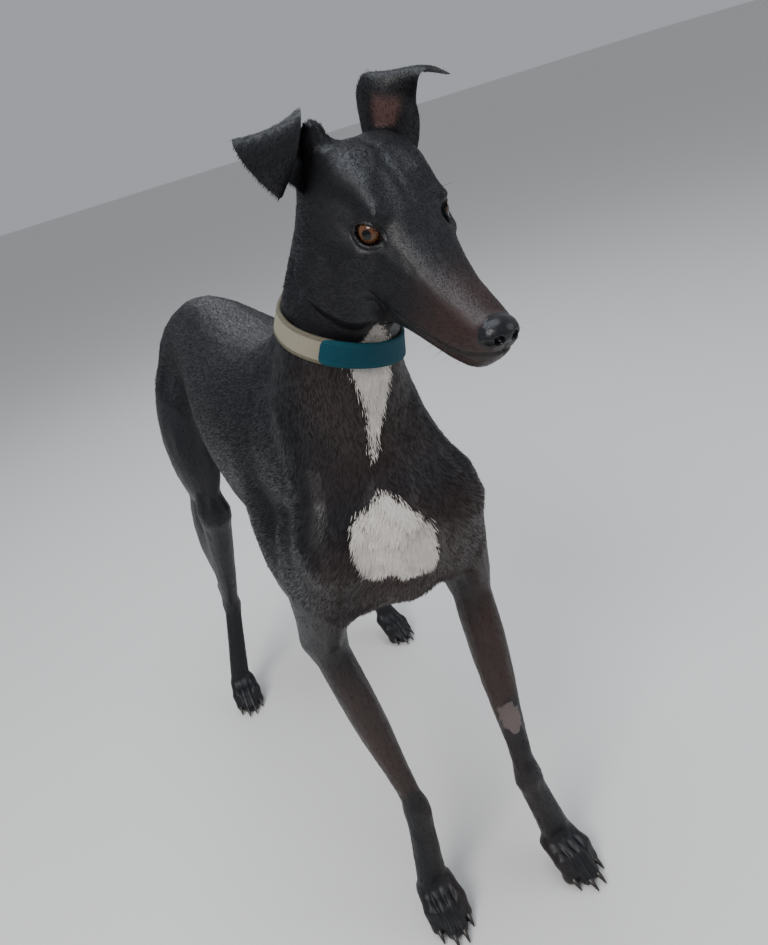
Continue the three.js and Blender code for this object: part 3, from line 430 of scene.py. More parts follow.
# Skin: the flesh nodes as one surface, drawn in by the coat's depth, with the face's folds pressed into it
skinValues = {
    "voxel": 0.0018, "overlap": 0.00025, "coatDepth": 0.0013, "triangles": 188000,
    # Rounds of smoothing, each with its pull in and its push back out
    "lightRounds": (5, 0.6, 0.63), "bodyRounds": (34, 0.63, 0.66), "pawRounds": (14, 0.63, 0.655),
    "fineRounds": (3, 0.5, 0.52), "earRounds": (6, 0.5, 0.53),
    "fineReach": 24, "mouthDepth": 1.6, "furrow": 0.9, "jawDepth": 8.0, "lidFold": 0.8, "lidHeight": 8.0,
    "lidHalf": 17, "toeGap": 12.2, "toeDepth": 2.3, "earDepth": 0.0001, "earRoot": 0.006,
}
limbs = [f"{part}_{side}" for part in ("foreleg", "forepaw", "hindleg", "hindpaw")
         for side in ("right", "left")]
softNodes = ["head", "neck", "torso", "tail"] + limbs
earNodes = ["ear_right", "ear_left"]
fleshNodes = softNodes + earNodes
mouthLine = np.array(((18, -54), (40, -57), (62, -57), (88, -54), (108, -49), (126, -43)), float)


def smoothed(co, edges, share, name):
    rounds, pull, push = skinValues[name]
    return spread(co, edges, share, [pull, -push] * rounds)


def toEyes(head):
    return np.min([np.linalg.norm(head - c, axis=1) for c in eyeLocal.values()], axis=0)


def overMouth(head):
    return head[:, 2] - np.interp(head[:, 0], *mouthLine.T)


owners, ownerFaces, ownerPoints = [], [], []
copies = []
for index, name in enumerate(fleshNodes):
    piece = nodeCopy(name)
    base = sum(len(p) for p in ownerPoints)
    ownerPoints.append(points(piece))
    for polygon in piece.data.polygons:
        ownerFaces.append([base + v for v in polygon.vertices])
        owners.append(index)
    if name in softNodes:
        move(piece, points(piece) + normals(piece) * skinValues["overlap"])
        copies.append(piece)
    else:
        applied(piece, "SUBSURF", levels=2)
        piece.name = name + "Skin"
nodeTree = BVHTree.FromPolygons(np.concatenate(ownerPoints).tolist(), ownerFaces)
owners = np.array(owners)


def partsAt(co):
    return owners[[nodeTree.find_nearest(p)[2] for p in co.tolist()]]


def isPart(which, names):
    return np.isin(which, [fleshNodes.index(n) for n in names])


skin = joined(copies, "skin")
applied(skin, "REMESH", mode="VOXEL", voxel_size=skinValues["voxel"], adaptivity=0.0)
before = set(bpy.data.objects)
activate(skin)
bpy.ops.object.mode_set(mode="EDIT")
bpy.ops.mesh.select_all(action="SELECT")
bpy.ops.mesh.separate(type="LOOSE")
bpy.ops.object.mode_set(mode="OBJECT")
loose = [skin] + [o for o in bpy.data.objects if o not in before]
skin = max(loose, key=lambda o: len(o.data.vertices))
for obj in loose:
    if obj != skin:
        bpy.data.objects.remove(obj)
skin.name = "skin"
print("skin surface", len(skin.data.vertices))

co, edges = points(skin), edgesOf(skin)
head, dog = toHead(co), toDog(co)
headShare = ramp(head[:, 0], -105, -70) * ramp(dog[:, 2], 715, 750)
pawShare = 1 - ramp(dog[:, 2], 45, 75)
co = smoothed(co, edges, np.ones(len(co)), "lightRounds")
co = smoothed(co, edges, 1 - np.maximum(headShare, pawShare), "bodyRounds")
co = smoothed(co, edges, pawShare, "pawRounds")
move(skin, co)
print("skin smoothed")

# Finer cells round the eyes, over the muzzle and along the lips
centres = np.empty(len(skin.data.polygons) * 3)
skin.data.polygons.foreach_get("center", centres)
head = toHead(centres.reshape(-1, 3))
muzzle = (head[:, 0] > 78) & (head[:, 0] < 140)
lips = (head[:, 0] > 10) & (head[:, 0] < 140) & (np.abs(overMouth(head)) < 7)
activate(skin)
bpy.ops.object.mode_set(mode="EDIT")
bpy.ops.mesh.select_all(action="DESELECT")
bpy.ops.object.mode_set(mode="OBJECT")
skin.data.polygons.foreach_set("select", (toEyes(head) < skinValues["fineReach"]) | muzzle | lips)
bpy.ops.object.mode_set(mode="EDIT")
bpy.ops.mesh.subdivide(number_cuts=1)
bpy.ops.object.mode_set(mode="OBJECT")
co, edges = points(skin), edgesOf(skin)
head = toHead(co)
fine = (toEyes(head) < skinValues["fineReach"]) | (head[:, 0] > 78)
move(skin, smoothed(co, edges, fine * 1.0, "fineRounds"))

# Folds and dents, in millimetres inward
co, norm = points(skin), normals(skin)
head = toHead(co)
x, y, z = head.T
wide = np.abs(y)
onHead = ramp(x, -95, -60) * (x < 150)
onSide = np.clip(ramp(wide, 3, 7) + ramp(x, 112, 120), 0, 1)
inward = skinValues["mouthDepth"] * dent(overMouth(head), 1.5) * ramp(x, 18, 34) * onSide
inward += skinValues["furrow"] * dent(y, 4.0) * ramp(x, -80, -50) * (1 - ramp(x, 10, 40)) * (z > 0)
# The groove down the nose, the edge of its leather, and the nostrils
inward += 0.9 * dent(y, 1.0) * ramp(x, 112, 118) * ramp(-z, 30, 36) * (1 - ramp(-z, 46, 52))
inward += 0.7 * dent(noseField(head) + 0.05, 0.05) * (x > 95)
inward += 1.8 * ramp(nostrilField(head), 0, 0.45)
# Behind and under the jaw's edge the neck is set back, with a fold at the corner of the mouth
jawEdge = np.array(((-62, -40), (-59, -50), (-41, -55), (-25, -61), (-14, -67), (-4, -76), (6, -90)), float)
under = np.interp(x, *jawEdge.T) - z
setBack = skinValues["jawDepth"] * ramp(under, -3, 7) * (1 - ramp(under, 20, 60))
inward += setBack * ramp(x, -85, -58) * (1 - ramp(x, -2, 14)) * ramp(wide, 12, 28)
mouthCorner = 1.4 * dent(np.hypot((x - 4) / 1.6, z + 56), 4.0)
crease = 0.8 * dent((x - 8) * 0.6 + z + 50, 2.5) * ramp(x, -12, 0) * (1 - ramp(x, 12, 26))
inward += mouthCorner + crease * (z < -30)
# A hollow along the side of the muzzle and a ridge over it
inward += 0.8 * dent(z + 22 + 0.1 * x, 5.0) * ramp(x, 12, 34) * (1 - ramp(x, 70, 100)) * ramp(wide, 8, 14)
inward -= 0.7 * dent(z + 12 + 0.28 * x, 4.0) * ramp(x, 5, 30) * (1 - ramp(x, 75, 100)) * ramp(wide, 6, 12)
# Before each eye, with the depth and width of its hollow
hollows = (((9, 31, 4), 4.5, 8.5), ((9, -31, 4), 1.5, 8.0))
inward += sum(depth * dent(np.linalg.norm(head - place, axis=1), width) for place, depth, width in hollows)
eyeFrames = {}
outward, half = math.radians(eyeValues["outward"]), skinValues["lidHalf"]
for side, centre in eyeLocal.items():
    sign = 1 if side == "left" else -1
    look = unit((math.cos(outward), sign * math.sin(outward), 0.1))
    inner = unit((math.sin(outward), -sign * math.cos(outward), -0.1))
    inner = unit(inner - look * (inner @ look))
    up = np.cross(look, inner)
    up = up if up[2] > 0 else -up
    eyeFrames[side] = (centre, look, inner, up)
    s, t, d = (head - centre) @ inner, (head - centre) @ up, (head - centre) @ look
    front = ramp(d, 0, 5) * onHead
    lid = skinValues["lidHeight"] * (1 - (np.abs(s) / half) ** 2)
    # A fold over the upper lid, one under the lower, the inner corner, and the upper lid's own edge
    inward += front * (np.abs(s) < half) * skinValues["lidFold"] * dent(t - lid - 2.5, 1.3) * ramp(lid, 0, 4)
    inward += front * (np.abs(s) < half - 1) * 0.55 * dent(t + lid + 2.0, 1.2) * ramp(lid, 0, 4)
    inward += front * 0.9 * dent(np.hypot(s - 14.5, t + 2.2), 3.0)
    inward -= front * 0.5 * dent(t - lid + 0.4, 1.5) * ramp(lid, 0, 3)
inward += skinValues["coatDepth"] * 1000 * (1 - 0.75 * ramp(noseField(head), -0.25, 0.0))

# Paws, each with its place, turn and size: grooves between the toes, and a knuckle's rise on each
paws = (((-78, -72, 0), -6, 1.0), ((80, -116, 0), 8, 1.0),
        ((-148, 512, 0), -10, 0.93), ((142, 470, 0), 10, 0.93))
toes = (-1.5, -0.5, 0.5, 1.5)


def toPaw(dog, place, turn, size):
    # Across, ahead and up, in the paw's own millimetres
    q = (dog - place) / size
    c, s = math.cos(math.radians(turn)), math.sin(math.radians(turn))
    return q[:, 0] * c + q[:, 1] * s, q[:, 0] * s - q[:, 1] * c, q[:, 2]


def fromPaw(across, ahead, height, place, turn, size):
    c, s = math.cos(math.radians(turn)), math.sin(math.radians(turn))
    return np.array(place) + size * np.array((across * c + ahead * s, across * s - ahead * c, height))


dog, gap = toDog(co), skinValues["toeGap"]
for place, turn, size in paws:
    near = (np.linalg.norm(dog[:, :2] - place[:2], axis=1) < 75) & (dog[:, 2] < 60)
    across, ahead, height = toPaw(dog[near], place, turn, size)
    groove = sum(dent(across - k * gap, 1.9) for k in (-1, 0, 1)) * ramp(ahead, -6, 14) * ramp(height, 4, 10)
    knuckle = sum(dent(across - k * gap, 4.2) for k in toes) * dent(ahead - 16 + 0.25 * np.abs(across), 6)
    inward[near] += skinValues["toeDepth"] * groove - 1.2 * knuckle * (height > 12)
move(skin, co - norm * (inward / 1000)[:, None])

# Whatever of the skin stands in an eye's opening goes back behind the ball
co = points(skin)
for centre, look, inner, up in eyeFrames.values():
    local = toHead(co) - centre
    s, t, d = local @ inner, local @ up, local @ look
    opening = eyeValues["halfHeight"] * (1 - (s / eyeValues["halfWidth"]) ** 2)
    inside = (np.abs(s) < eyeValues["halfWidth"] - 0.4) & (np.abs(t) < opening - 0.25) & (d > 0) & (d < 25)
    back = np.minimum(d, np.sqrt(np.maximum(eyeValues["behind"] ** 2 - s ** 2 - t ** 2, 1)))
    local = local + ((back - d) * inside)[:, None] * look
    co = np.where(inside[:, None], fromHead(local + centre), co)
move(skin, co)
skinTree = BVHTree.FromPolygons(co.tolist(), [list(p.vertices) for p in skin.data.polygons])
print("face pressed in")

# Thinned where it is plain; the head and paws keep their cells
group = skin.vertex_groups.new(name="plain")
co = points(skin)
head, dog = toHead(co), toDog(co)
keepFine = (ramp(head[:, 0], -60, -50) * ramp(dog[:, 2], 735, 760) > 0.5) | (dog[:, 2] < 48)
group.add(np.flatnonzero(~keepFine).tolist(), 1.0, "REPLACE")
count = sum(len(p.vertices) - 2 for p in skin.data.polygons)
applied(skin, "DECIMATE", ratio=min(1.0, skinValues["triangles"] / count), vertex_group="plain",
        vertex_group_factor=1.0, use_collapse_triangulate=True)
skin.vertex_groups.clear()
ears = [bpy.data.objects[name + "Skin"] for name in earNodes]
for ear in ears:
    co = smoothed(points(ear), edgesOf(ear), np.ones(len(ear.data.vertices)), "earRounds")
    move(ear, co - normals(ear) * skinValues["earDepth"])
    # The root of the ear reaches down into the head
    co, root = points(ear), skinValues["earRoot"]
    nearest = [skinTree.find_nearest(p) for p in co.tolist()]
    away = np.array([hit[3] for hit in nearest])
    outward = np.array([tuple(hit[1]) for hit in nearest])
    move(ear, co - outward * (root * (1 - ramp(away, root / 4, root)))[:, None])
skin = joined([skin] + ears, "skin")
skin.data.shade_smooth()
print("skin", len(skin.data.vertices), "triangles", sum(len(p.vertices) - 2 for p in skin.data.polygons))

# Lie of the coat: each part's own direction, spread until it turns evenly
lies = {
    "head": -headAxes[0] + np.array((0, 0, -0.12)), "neck": (-0.1, 0.25, -0.95), "torso": (0, 0.93, -0.35),
    "tail": (0, 0.15, -1), "ear_right": (-0.6, 0.35, -0.7), "ear_left": (0.1, 0.45, 0.85),
    "foreleg": (0, 0.1, -1), "forepaw": (0, -0.75, -0.65),
    "hindleg": (0, 0.35, -0.92), "hindpaw": (0, -0.75, -0.65),
}
co, edges = points(skin), edgesOf(skin)
parts = partsAt(co)
dog, head = toDog(co), toHead(co)
even = np.ones(len(co))
lie = np.array([unit(lies.get(n, lies.get(n.split("_")[0]))) for n in fleshNodes])[parts]
# On the chest the hair runs down and outwards from the breastbone
chest = (isPart(parts, ["torso"]) * ramp(-dog[:, 1], 60, 120))[:, None]
outAndDown = np.stack((np.clip((dog[:, 0] - 8) / 90, -0.7, 0.7), even * 0.1, even * -0.9), 1)
lie = spread(unit(lie * (1 - chest) + chest * outAndDown), edges, even, [0.9] * 14)
norm = normals(skin)
lie = unit(lie - norm * np.sum(lie * norm, 1, keepdims=True))
isEar = isPart(parts, earNodes)
shares = [isPart(parts, names) * 1.0 for names in (["head"] + earNodes, ["neck"], limbs + ["tail"])]
shares = spread(np.stack(shares, 1), edges, even, [0.9] * 10)

# The left ear's inner face, which is open to the front
cup = np.zeros(len(co))
leftEar = isPart(parts, ["ear_left"])
across = (head[leftEar] - (-92, 34, 40)) @ unit((0.74, 0.62, -0.22))
facing = ramp(norm[leftEar] @ unit((0.15, -0.95, -0.1)), 0.05, 0.5)
cup[leftEar] = facing * (1 - ramp(np.abs(across + 2), 8, 17)) * (1 - ramp(head[leftEar, 2], 50, 64))
leather = noseField(head)
onLips = dent(overMouth(head), 3.2) * ramp(head[:, 0], 20, 40) * (head[:, 0] < 140)
eyeRim = 1 - ramp(toEyes(head), 11.5, 15.5)
for name, values in {
    "whiteField": whiteField(dog), "bareField": bareField(dog), "brownField": brownField(dog, head),
    "noseField": leather, "nostrilField": nostrilField(head), "cupField": cup, "lipField": onLips,
    "rimField": eyeRim, "headShare": shares[:, 0], "neckShare": shares[:, 1], "legShare": shares[:, 2],
}.items():
    putField(skin, name, values)
print("fields on the skin")

# Unwrap of the skin's own shape: each part round its own axis, in its own cell
cellAxes = {
    "head": headAxes[0], "neck": unit((0.25, -0.2, 0.93)), "torso": (0, 1, 0), "tail": (0, 0.1, -1),
    "ear_right": headAxes[2], "ear_left": headAxes[2],
}


def middles(own, along, bins):
    # The middle of each stretch of a part, or of the whole part where a stretch is empty
    out = []
    for a, b in zip(bins[:-1], bins[1:]):
        inside = (along >= a - 1e-6) & (along <= b + 1e-6)
        out.append(own[inside].mean(0) if np.any(inside) else own.mean(0))
    return np.array(out)


cells = {}
for index, name in enumerate(fleshNodes):
    axis = unit(cellAxes.get(name, (0, 0, -1)))
    e1 = unit(np.cross(axis, (0.9, 0.1, 0.3) if abs(axis[2]) > 0.6 else (0, 0.05, 1)))
    e2 = np.cross(axis, e1)
    own = co[parts == index] if np.any(parts == index) else co[:1]
    along = own @ axis
    low, high = along.min(), along.max()
    bins = np.linspace(low, high, 9)
    cells[index] = (axis, e1, e2, low, high, (bins[:-1] + bins[1:]) / 2, middles(own, along, bins))


def unwrapped(places, which):
    out = np.zeros((len(places), 2))
    for index, (axis, e1, e2, low, high, steps, mids) in cells.items():
        mine = which == index
        if not np.any(mine):
            continue
        p = places[mine]
        a = p @ axis
        mid = np.stack([np.interp(a, steps, mids[:, k]) for k in range(3)], 1)
        angle = np.arctan2((p - mid) @ e2, (p - mid) @ e1) / (2 * np.pi) + 0.5
        out[mine] = np.stack((angle, np.clip((a - low) / (high - low), 0, 1)), 1)
    return out


def inCells(local, which):
    column, row = which % 4, which // 4
    return np.stack(((column + 0.03 + 0.92 * local[:, 0]) / 4, (row + 0.03 + 0.94 * local[:, 1]) / 4), 1)


corner = cornerVertices(skin)
starts = np.empty(len(skin.data.polygons), np.int32)
skin.data.polygons.foreach_get("loop_start", starts)
totals = np.diff(np.append(starts, len(corner)))
faceOf = np.repeat(np.arange(len(starts)), totals)
facePart = parts[corner[starts]]
local = unwrapped(co[corner], facePart[faceOf])
low = np.full(len(starts), 2.0)
high = np.full(len(starts), -1.0)
np.minimum.at(low, faceOf, local[:, 0])
np.maximum.at(high, faceOf, local[:, 0])
wraps = (high - low > 0.5)[faceOf] & (local[:, 0] < 0.5)
local[wraps, 0] += 1
local[:, 0] = np.minimum(local[:, 0], 1.04)
putMap(skin, "OFBake", inCells(local, facePart[faceOf]))


def skinMaterial():
    g = Graph("blackCoat", Specular_IOR_Level=0.36)
    place = g.place()
    torso = g.noise(g.turned(place, (0.35, 0, 0), (950, 70, 950)), 1.0, 2.0)
    headFur = g.noise(g.turned(place, (-0.42, 0, 0), (1250, 150, 1250)), 1.0, 2.0)
    neckFur = g.noise(g.turned(place, (-0.3, 0.1, 0), (1000, 1000, 75)), 1.0, 2.0)
    legFur = g.noise(g.turned(place, (0, 0, 0), (1050, 1050, 90)), 1.0, 2.0)
    streaks = g.mixValue(g.field("headShare"), torso, headFur)
    streaks = g.mixValue(g.field("neckShare"), streaks, neckFur)
    streaks = g.mixValue(g.field("legShare"), streaks, legFur)
    broad = g.noise(place, 26.0, 3.0)
    toEdge = {"feature": "DISTANCE_TO_EDGE"}
    pebbles = g.node("ShaderNodeTexVoronoi", toEdge, {"Vector": place, "Scale": 780.0})
    white = g.field("whiteField") + (streaks - 0.5) * marks["ragged"] * 2.4 + (broad - 0.5) * 8.0
    white = white.between(-marks["edge"] / 2, marks["edge"] / 2)
    bare = (g.field("bareField") + (g.noise(place, 160.0, 4.0) - 0.5) * 0.7).between(0.05, 0.2)
    nose = g.field("noseField").between(-0.06, 0.0)
    cup = (g.field("cupField") * (0.35 + 1.1 * streaks)).clamped()
    colour = g.mix((g.field("brownField") * (0.45 + broad)).clamped(), marks["black"], marks["brown"])
    colour = g.mix((streaks - 0.4).clamped() * 0.2, colour, marks["sheen"])
    colour = g.mix(white, colour, g.mix(streaks, marks["whiteRoots"], marks["white"]))
    colour = g.mix(bare, colour, g.mix(broad, marks["bare"], marks["bareDark"]))
    colour = g.mix(cup, colour, g.mix(streaks, marks["cup"], marks["cupPale"]))
    colour = g.mix(nose, colour, marks["nose"])
    # The nostrils nearly black: the leather's own dark, deepened by painted shade of the holes, which the
    # skin only dents
    colour = g.mix(g.field("nostrilField").between(0.05, 0.3), colour, marks["nostril"])
    colour = g.mix((g.field("lipField") * 0.8).clamped(), colour, marks["lips"])
    colour = g.mix(g.field("rimField"), colour, marks["eyeRim"])
    rough = 0.43 + (streaks - 0.5) * 0.25 + (broad - 0.5) * 0.12 + white * 0.3 + cup * 0.25
    rough = g.mixValue(nose, rough, 0.27)
    rough = g.mixValue(g.field("rimField"), rough, 0.3)
    fur = (1 - nose) * (1 - g.field("rimField") * 0.8)
    normal = g.bump(streaks * fur, 0.4, 0.0006)
    normal = g.bump((pebbles * 30).clamped() * nose, 0.7, 0.0004, normal)
    return g.finish(Base_Color=colour, Roughness=rough.clamped(0.15, 0.95), Normal=normal)


skin.data.materials.clear()
skin.data.materials.append(skinMaterial())
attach(skin, "root")
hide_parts(*fleshNodes)
print("skin painted")

# Coat: short blades that lie along the body over the skin
coat = {
    "counts": {"coatBody": (60000, 60000), "coatHead": (62000,), "coatLegs": (52000,),
               "coatWhite": (15000,)},
    "lengths": {"ear": 0.0032, "brow": 0.0026, "nape": 0.0022, "neck": 0.0070, "torso": 0.0078,
                "limb": 0.0050},
    "rootDepth": 0.0004, "sideJitter": 0.30, "width": 0.00045, "whiteWidth": 0.0006, "lift": 0.085,
}
skin.data.calc_loop_triangles()
skinTriangles = np.empty(len(skin.data.loop_triangles) * 3, np.int32)
skin.data.loop_triangles.foreach_get("vertices", skinTriangles)
skinTriangles = skinTriangles.reshape(-1, 3)
norm = normals(skin)
a, b, c = (co[skinTriangles[:, k]] for k in range(3))
faceArea = np.linalg.norm(np.cross(b - a, c - a), axis=1) / 2
white = ramp(whiteField(dog), -5, 3)
onBare = ramp(bareField(dog), -0.1, 0.25)
offLimits = np.maximum.reduce([ramp(leather, -0.2, -0.05), eyeRim, np.clip(onLips * 1.2, 0, 1), onBare])
onPaw = 1 - ramp(dog[:, 2], 30, 60)
onHead, onNeck, onTorso = (isPart(parts, [name]) for name in ("head", "neck", "torso"))
groups = {
    "coatBody": (onTorso | onNeck) * (1 - white),
    "coatHead": (onHead | isEar) * (1 - 0.6 * cup),
    "coatLegs": isPart(parts, limbs + ["tail"]) * 1.0,
    "coatWhite": white * ~onHead,
}
length = coat["lengths"]
headLength = length["brow"] + length["nape"] * (1 - ramp(head[:, 0], -80, 10))
lengths = np.select([isEar, onHead, onNeck, onTorso],
                    [length["ear"], headLength, length["neck"], length["torso"]], length["limb"])
lengths = lengths * (1 - 0.35 * onPaw)
backThigh = ((dog[:, 1] > 470) & (dog[:, 2] > 480)) * 1.0
belly = (dog[:, 2] < 470) & onTorso
lengths = lengths * (1 + 0.7 * white + 0.5 * backThigh + 0.5 * belly)


def tuftColours(places, headPlaces, whiteness, cupness):
    n = len(places)
    brown = np.clip(brownField(places, headPlaces) * (0.6 + 0.6 * rng.random(n)), 0, 1)[:, None]
    base = np.array(marks["black"]) * (1 - brown) + np.array(marks["brown"]) * brown
    base = base * (0.7 + 0.9 * rng.random((n, 1)) ** 2)
    pale = np.array(marks["white"]) * (0.75 + 0.35 * rng.random((n, 1)))
    inner = np.array(marks["cup"]) * (0.15 + 1.6 * rng.random((n, 1)) ** 2)
    colour = np.where(whiteness[:, None] > 0, pale, base)
    return np.where(cupness[:, None] > 0.5, inner, colour)


def furMaterial():
    g = Graph("coatBlades", Specular_IOR_Level=0.22)
    grain = g.noise(g.place(), 900.0, 1.0)
    return g.finish(Base_Color=g.colourField("tint"), Roughness=0.42 + grain * 0.2)


bladeMaterial = furMaterial()


def growCoat(name, number, density):
    weight = faceArea * density[skinTriangles].mean(1) * (1 - offLimits[skinTriangles].max(1))
    picked = skinTriangles[rng.choice(len(weight), number, p=weight / weight.sum())]
    u, v = rng.random((2, number))
    over = u + v > 1
    u[over], v[over] = 1 - u[over], 1 - v[over]
    mixing = np.stack((1 - u - v, u, v), 1)[:, :, None]

    def at(values):
        return (values[picked] * mixing).sum(1)

    root, n, d = at(co), unit(at(norm)), at(lie)
    size = at(lengths[:, None])[:, 0] * (0.65 + 0.6 * rng.random(number))
    side = unit(np.cross(n, d))
    d = unit(d + side * rng.normal(0, coat["sideJitter"], (number, 1)) * 0.6)
    side = np.cross(n, d)
    places, headPlaces, own = toDog(root), toHead(root), parts[picked[:, 0]]
    field = whiteField(places) + rng.normal(0, marks["ragged"] / 3, number)
    field = np.where(isPart(own, ["neck", "torso", "head"]), field, -9)
    width = np.where(field > 0, coat["whiteWidth"], coat["width"]) * (0.7 + 0.6 * rng.random(number))
    width = width * np.sqrt(size / 0.007)
    lift = size * coat["lift"] + rng.normal(0, 0.00012, number) + 0.0006 * (field > 0)
    lift = np.clip(lift, 0.00015, 0.0025)[:, None]
    root = root - n * coat["rootDepth"]
    across, reach = side * width[:, None], d * size[:, None]
    mid = root + reach * 0.5 + n * (lift * 0.85 + coat["rootDepth"])
    tip = root + reach + n * (lift * (1.0 + 0.5 * rng.random((number, 1))) + coat["rootDepth"] * 0.5)
    blade = (root - across / 2, root + across / 2, mid - across * 0.42, mid + across * 0.42, tip)
    first = np.arange(number)[:, None] * len(blade)
    quads = first + np.array((0, 1, 3, 2))
    tips = first + np.array((2, 3, 4))
    obj = meshFrom(name, np.stack(blade, 1).reshape(-1, 3), [quads, tips], bladeMaterial)
    colours = tuftColours(places, headPlaces, field, at(cup[:, None])[:, 0] * (rng.random(number) < 0.9))
    # Painted shade within the coat: each blade darker at its root, beneath the blades over it, than at its
    # tip
    shade = np.array((0.7, 0.7, 1.0, 1.0, 1.15))  # darker at the root
    putColour(obj, "tint", (colours[:, None, :] * shade[None, :, None]).reshape(-1, 3))
    spot = inCells(unwrapped(root, own), own)
    patch = np.array(((0, 0), (0.003, 0), (0, 0.0015), (0.003, 0.0015), (0.0015, 0.003)))
    putMap(obj, "OFBake", (spot[:, None, :] + patch[None]).reshape(-1, 2)[cornerVertices(obj)])
    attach(obj, "root")


for name, numbers in coat["counts"].items():
    for k, number in enumerate(numbers):
        growCoat(name if len(numbers) == 1 else f"{name}{k + 1}", number, groups[name])
print("coat grown")


# Eyeballs: each with a raised clear front, painted through its own map
def eyeMaterial():
    g = Graph("eyeBall", Coat_Weight=0.55, Coat_Roughness=0.015, Specular_IOR_Level=0.1)
    u, v, _ = g.split(g.node("ShaderNodeUVMap", {"uv_map": "EyeMap"}))
    a = (u - 0.5) * eyeValues["mapSide"]
    b = (v - 0.5) * eyeValues["mapSide"]
    distance = g.maths("POWER", a * a + b * b, 0.5)
    spokes = {0: g.maths("ARCTAN2", b, a) * 5.0, 1: distance * 0.35, 2: 0.0}
    spokes = g.noise(g.node("ShaderNodeCombineXYZ", None, spokes), 1.6, 4.0, 0.65).between(0.35, 0.68)
    iris, pupil = eyeValues["iris"], eyeValues["pupil"]
    colour = g.mix(spokes, eyeValues["irisDark"], eyeValues["irisPale"])
    colour = g.mix(distance.between(iris - 1.5, iris - 0.1), colour, eyeValues["irisEdge"])
    colour = g.mix(distance.between(pupil, pupil + 0.35), eyeValues["black"], colour)
    white = g.mix(distance.between(9.8, 10.9), eyeValues["whiteInner"], eyeValues["whiteOuter"])
    colour = g.mix(distance.between(iris, iris + 0.6), colour, white)
    return g.finish(Base_Color=colour, Roughness=0.16)


def almond():
    t = np.linspace(-1, 1, eyeValues["outlineSteps"])
    half, height = eyeValues["halfWidth"], eyeValues["halfHeight"]
    upper = np.stack((t * half, eyeValues["hooded"] * height * (1 - t ** 2)), 1)
    lower = np.stack((t[::-1] * half, -height * (1 - t[::-1] ** 2)), 1)
    return np.concatenate((upper[:-1], lower[:-1]))


eyeGlass = eyeMaterial()
rimGraph = Graph("eyelidRim", Roughness=0.3)
rimMaterial = rimGraph.finish(Base_Color=rimGraph.colourField("tint"))
for side, (centre, look, inner, up) in eyeFrames.items():
    bpy.ops.mesh.primitive_uv_sphere_add(segments=72, ring_count=48, radius=1.0)
    eye = bpy.context.object
    eye.name = eye.data.name = "eye" + side.title()
    ball = points(eye)
    a, b, c = ball.T[:, :, None]
    reach = eyeValues["radius"] + eyeValues["rise"] * ramp(c, 0.62, 0.93)
    move(eye, fromHead(centre - eyeValues["setBack"] * look + reach * (a * inner + b * up + c * look)))
    flat = np.where(c > 0, 1.0, 40.0) * ball[:, :2] * eyeValues["radius"]
    while eye.data.uv_layers:
        eye.data.uv_layers.remove(eye.data.uv_layers[0])
    putMap(eye, "EyeMap", (0.5 + flat / eyeValues["mapSide"])[cornerVertices(eye)])
    eye.data.shade_smooth()
    eye.data.materials.append(eyeGlass)
    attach(eye, "root")
    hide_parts("eye_" + side)
    # The lids' rim follows the almond, where rays from outside meet the skin
    outline = almond()
    wider = outline * 1.1
    starts = fromHead(centre + wider[:, :1] * inner + wider[:, 1:] * up + 40 * look)
    way = Vector(-look @ headAxes)
    depth = np.array([40 - 1000 * (skinTree.ray_cast(Vector(p), way)[3] or 0.030) for p in starts])
    for _ in range(6):
        depth = 0.5 * depth + 0.25 * (np.roll(depth, 1) + np.roll(depth, -1))
    ring = centre + outline[:, :1] * inner + outline[:, 1:] * up + (depth - 0.5)[:, None] * look
    arch = np.sin(np.linspace(0, np.pi, eyeValues["outlineSteps"]))[:-1]
    radii = eyeValues["rim"] + np.concatenate((eyeValues["upperRim"] * arch, 0.1 * arch))
    rim = meshFrom("eyelid" + side.title(), *tube(fromHead(ring), radii / 1000, 8, closed=True), rimMaterial)
    pale = np.concatenate((0 * arch, arch)).repeat(8)[:, None]
    dark, light = np.array(eyeValues["rimDark"]), np.array(eyeValues["rimPale"])
    putColour(rim, "tint", (1 - pale) * dark + pale * light)
    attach(rim, "root")
print("eyes set")

# Whiskers: a few short dark bristles on lips and brow
whisker = {
    "roots": ((100, 15, -42), (92, 16, -44), (84, 17, -47), (104, 13, -46),
              (96, 15, -49), (76, 18, -50), (88, 16, -52), (-2, 30, 20)),
    "length": 17.0, "radius": 0.16, "droop": (-1.75, 0, -1.0), "colour": (0.006, 0.0055, 0.006, 1),
}
bristles = []
for number, (x, y, z) in enumerate(whisker["roots"]):
    for sign in (-1, 1):
        onSkin = skinTree.find_nearest(Vector(fromHead((x, sign * y, z))))[0]
        root = toHead(np.array([tuple(onSkin)]))[0]
        way = unit((0.35 - 0.06 * number, sign * 0.85, -0.35 + 0.05 * number))
        t = np.linspace(0, 1, 7)[:, None]
        path = root + way * (t * whisker["length"] - 0.6) + np.array(whisker["droop"]) * t ** 2
        bristles.append(tube(fromHead(path), whisker["radius"] * (1 - 0.85 * t[:, 0]) / 1000, 5))
bristleMaterial = Graph("bristle", Base_Color=whisker["colour"], Roughness=0.4).material
whiskers = meshFrom("whiskers", *several(bristles), bristleMaterial)
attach(whiskers, "root")
print("whiskers set")

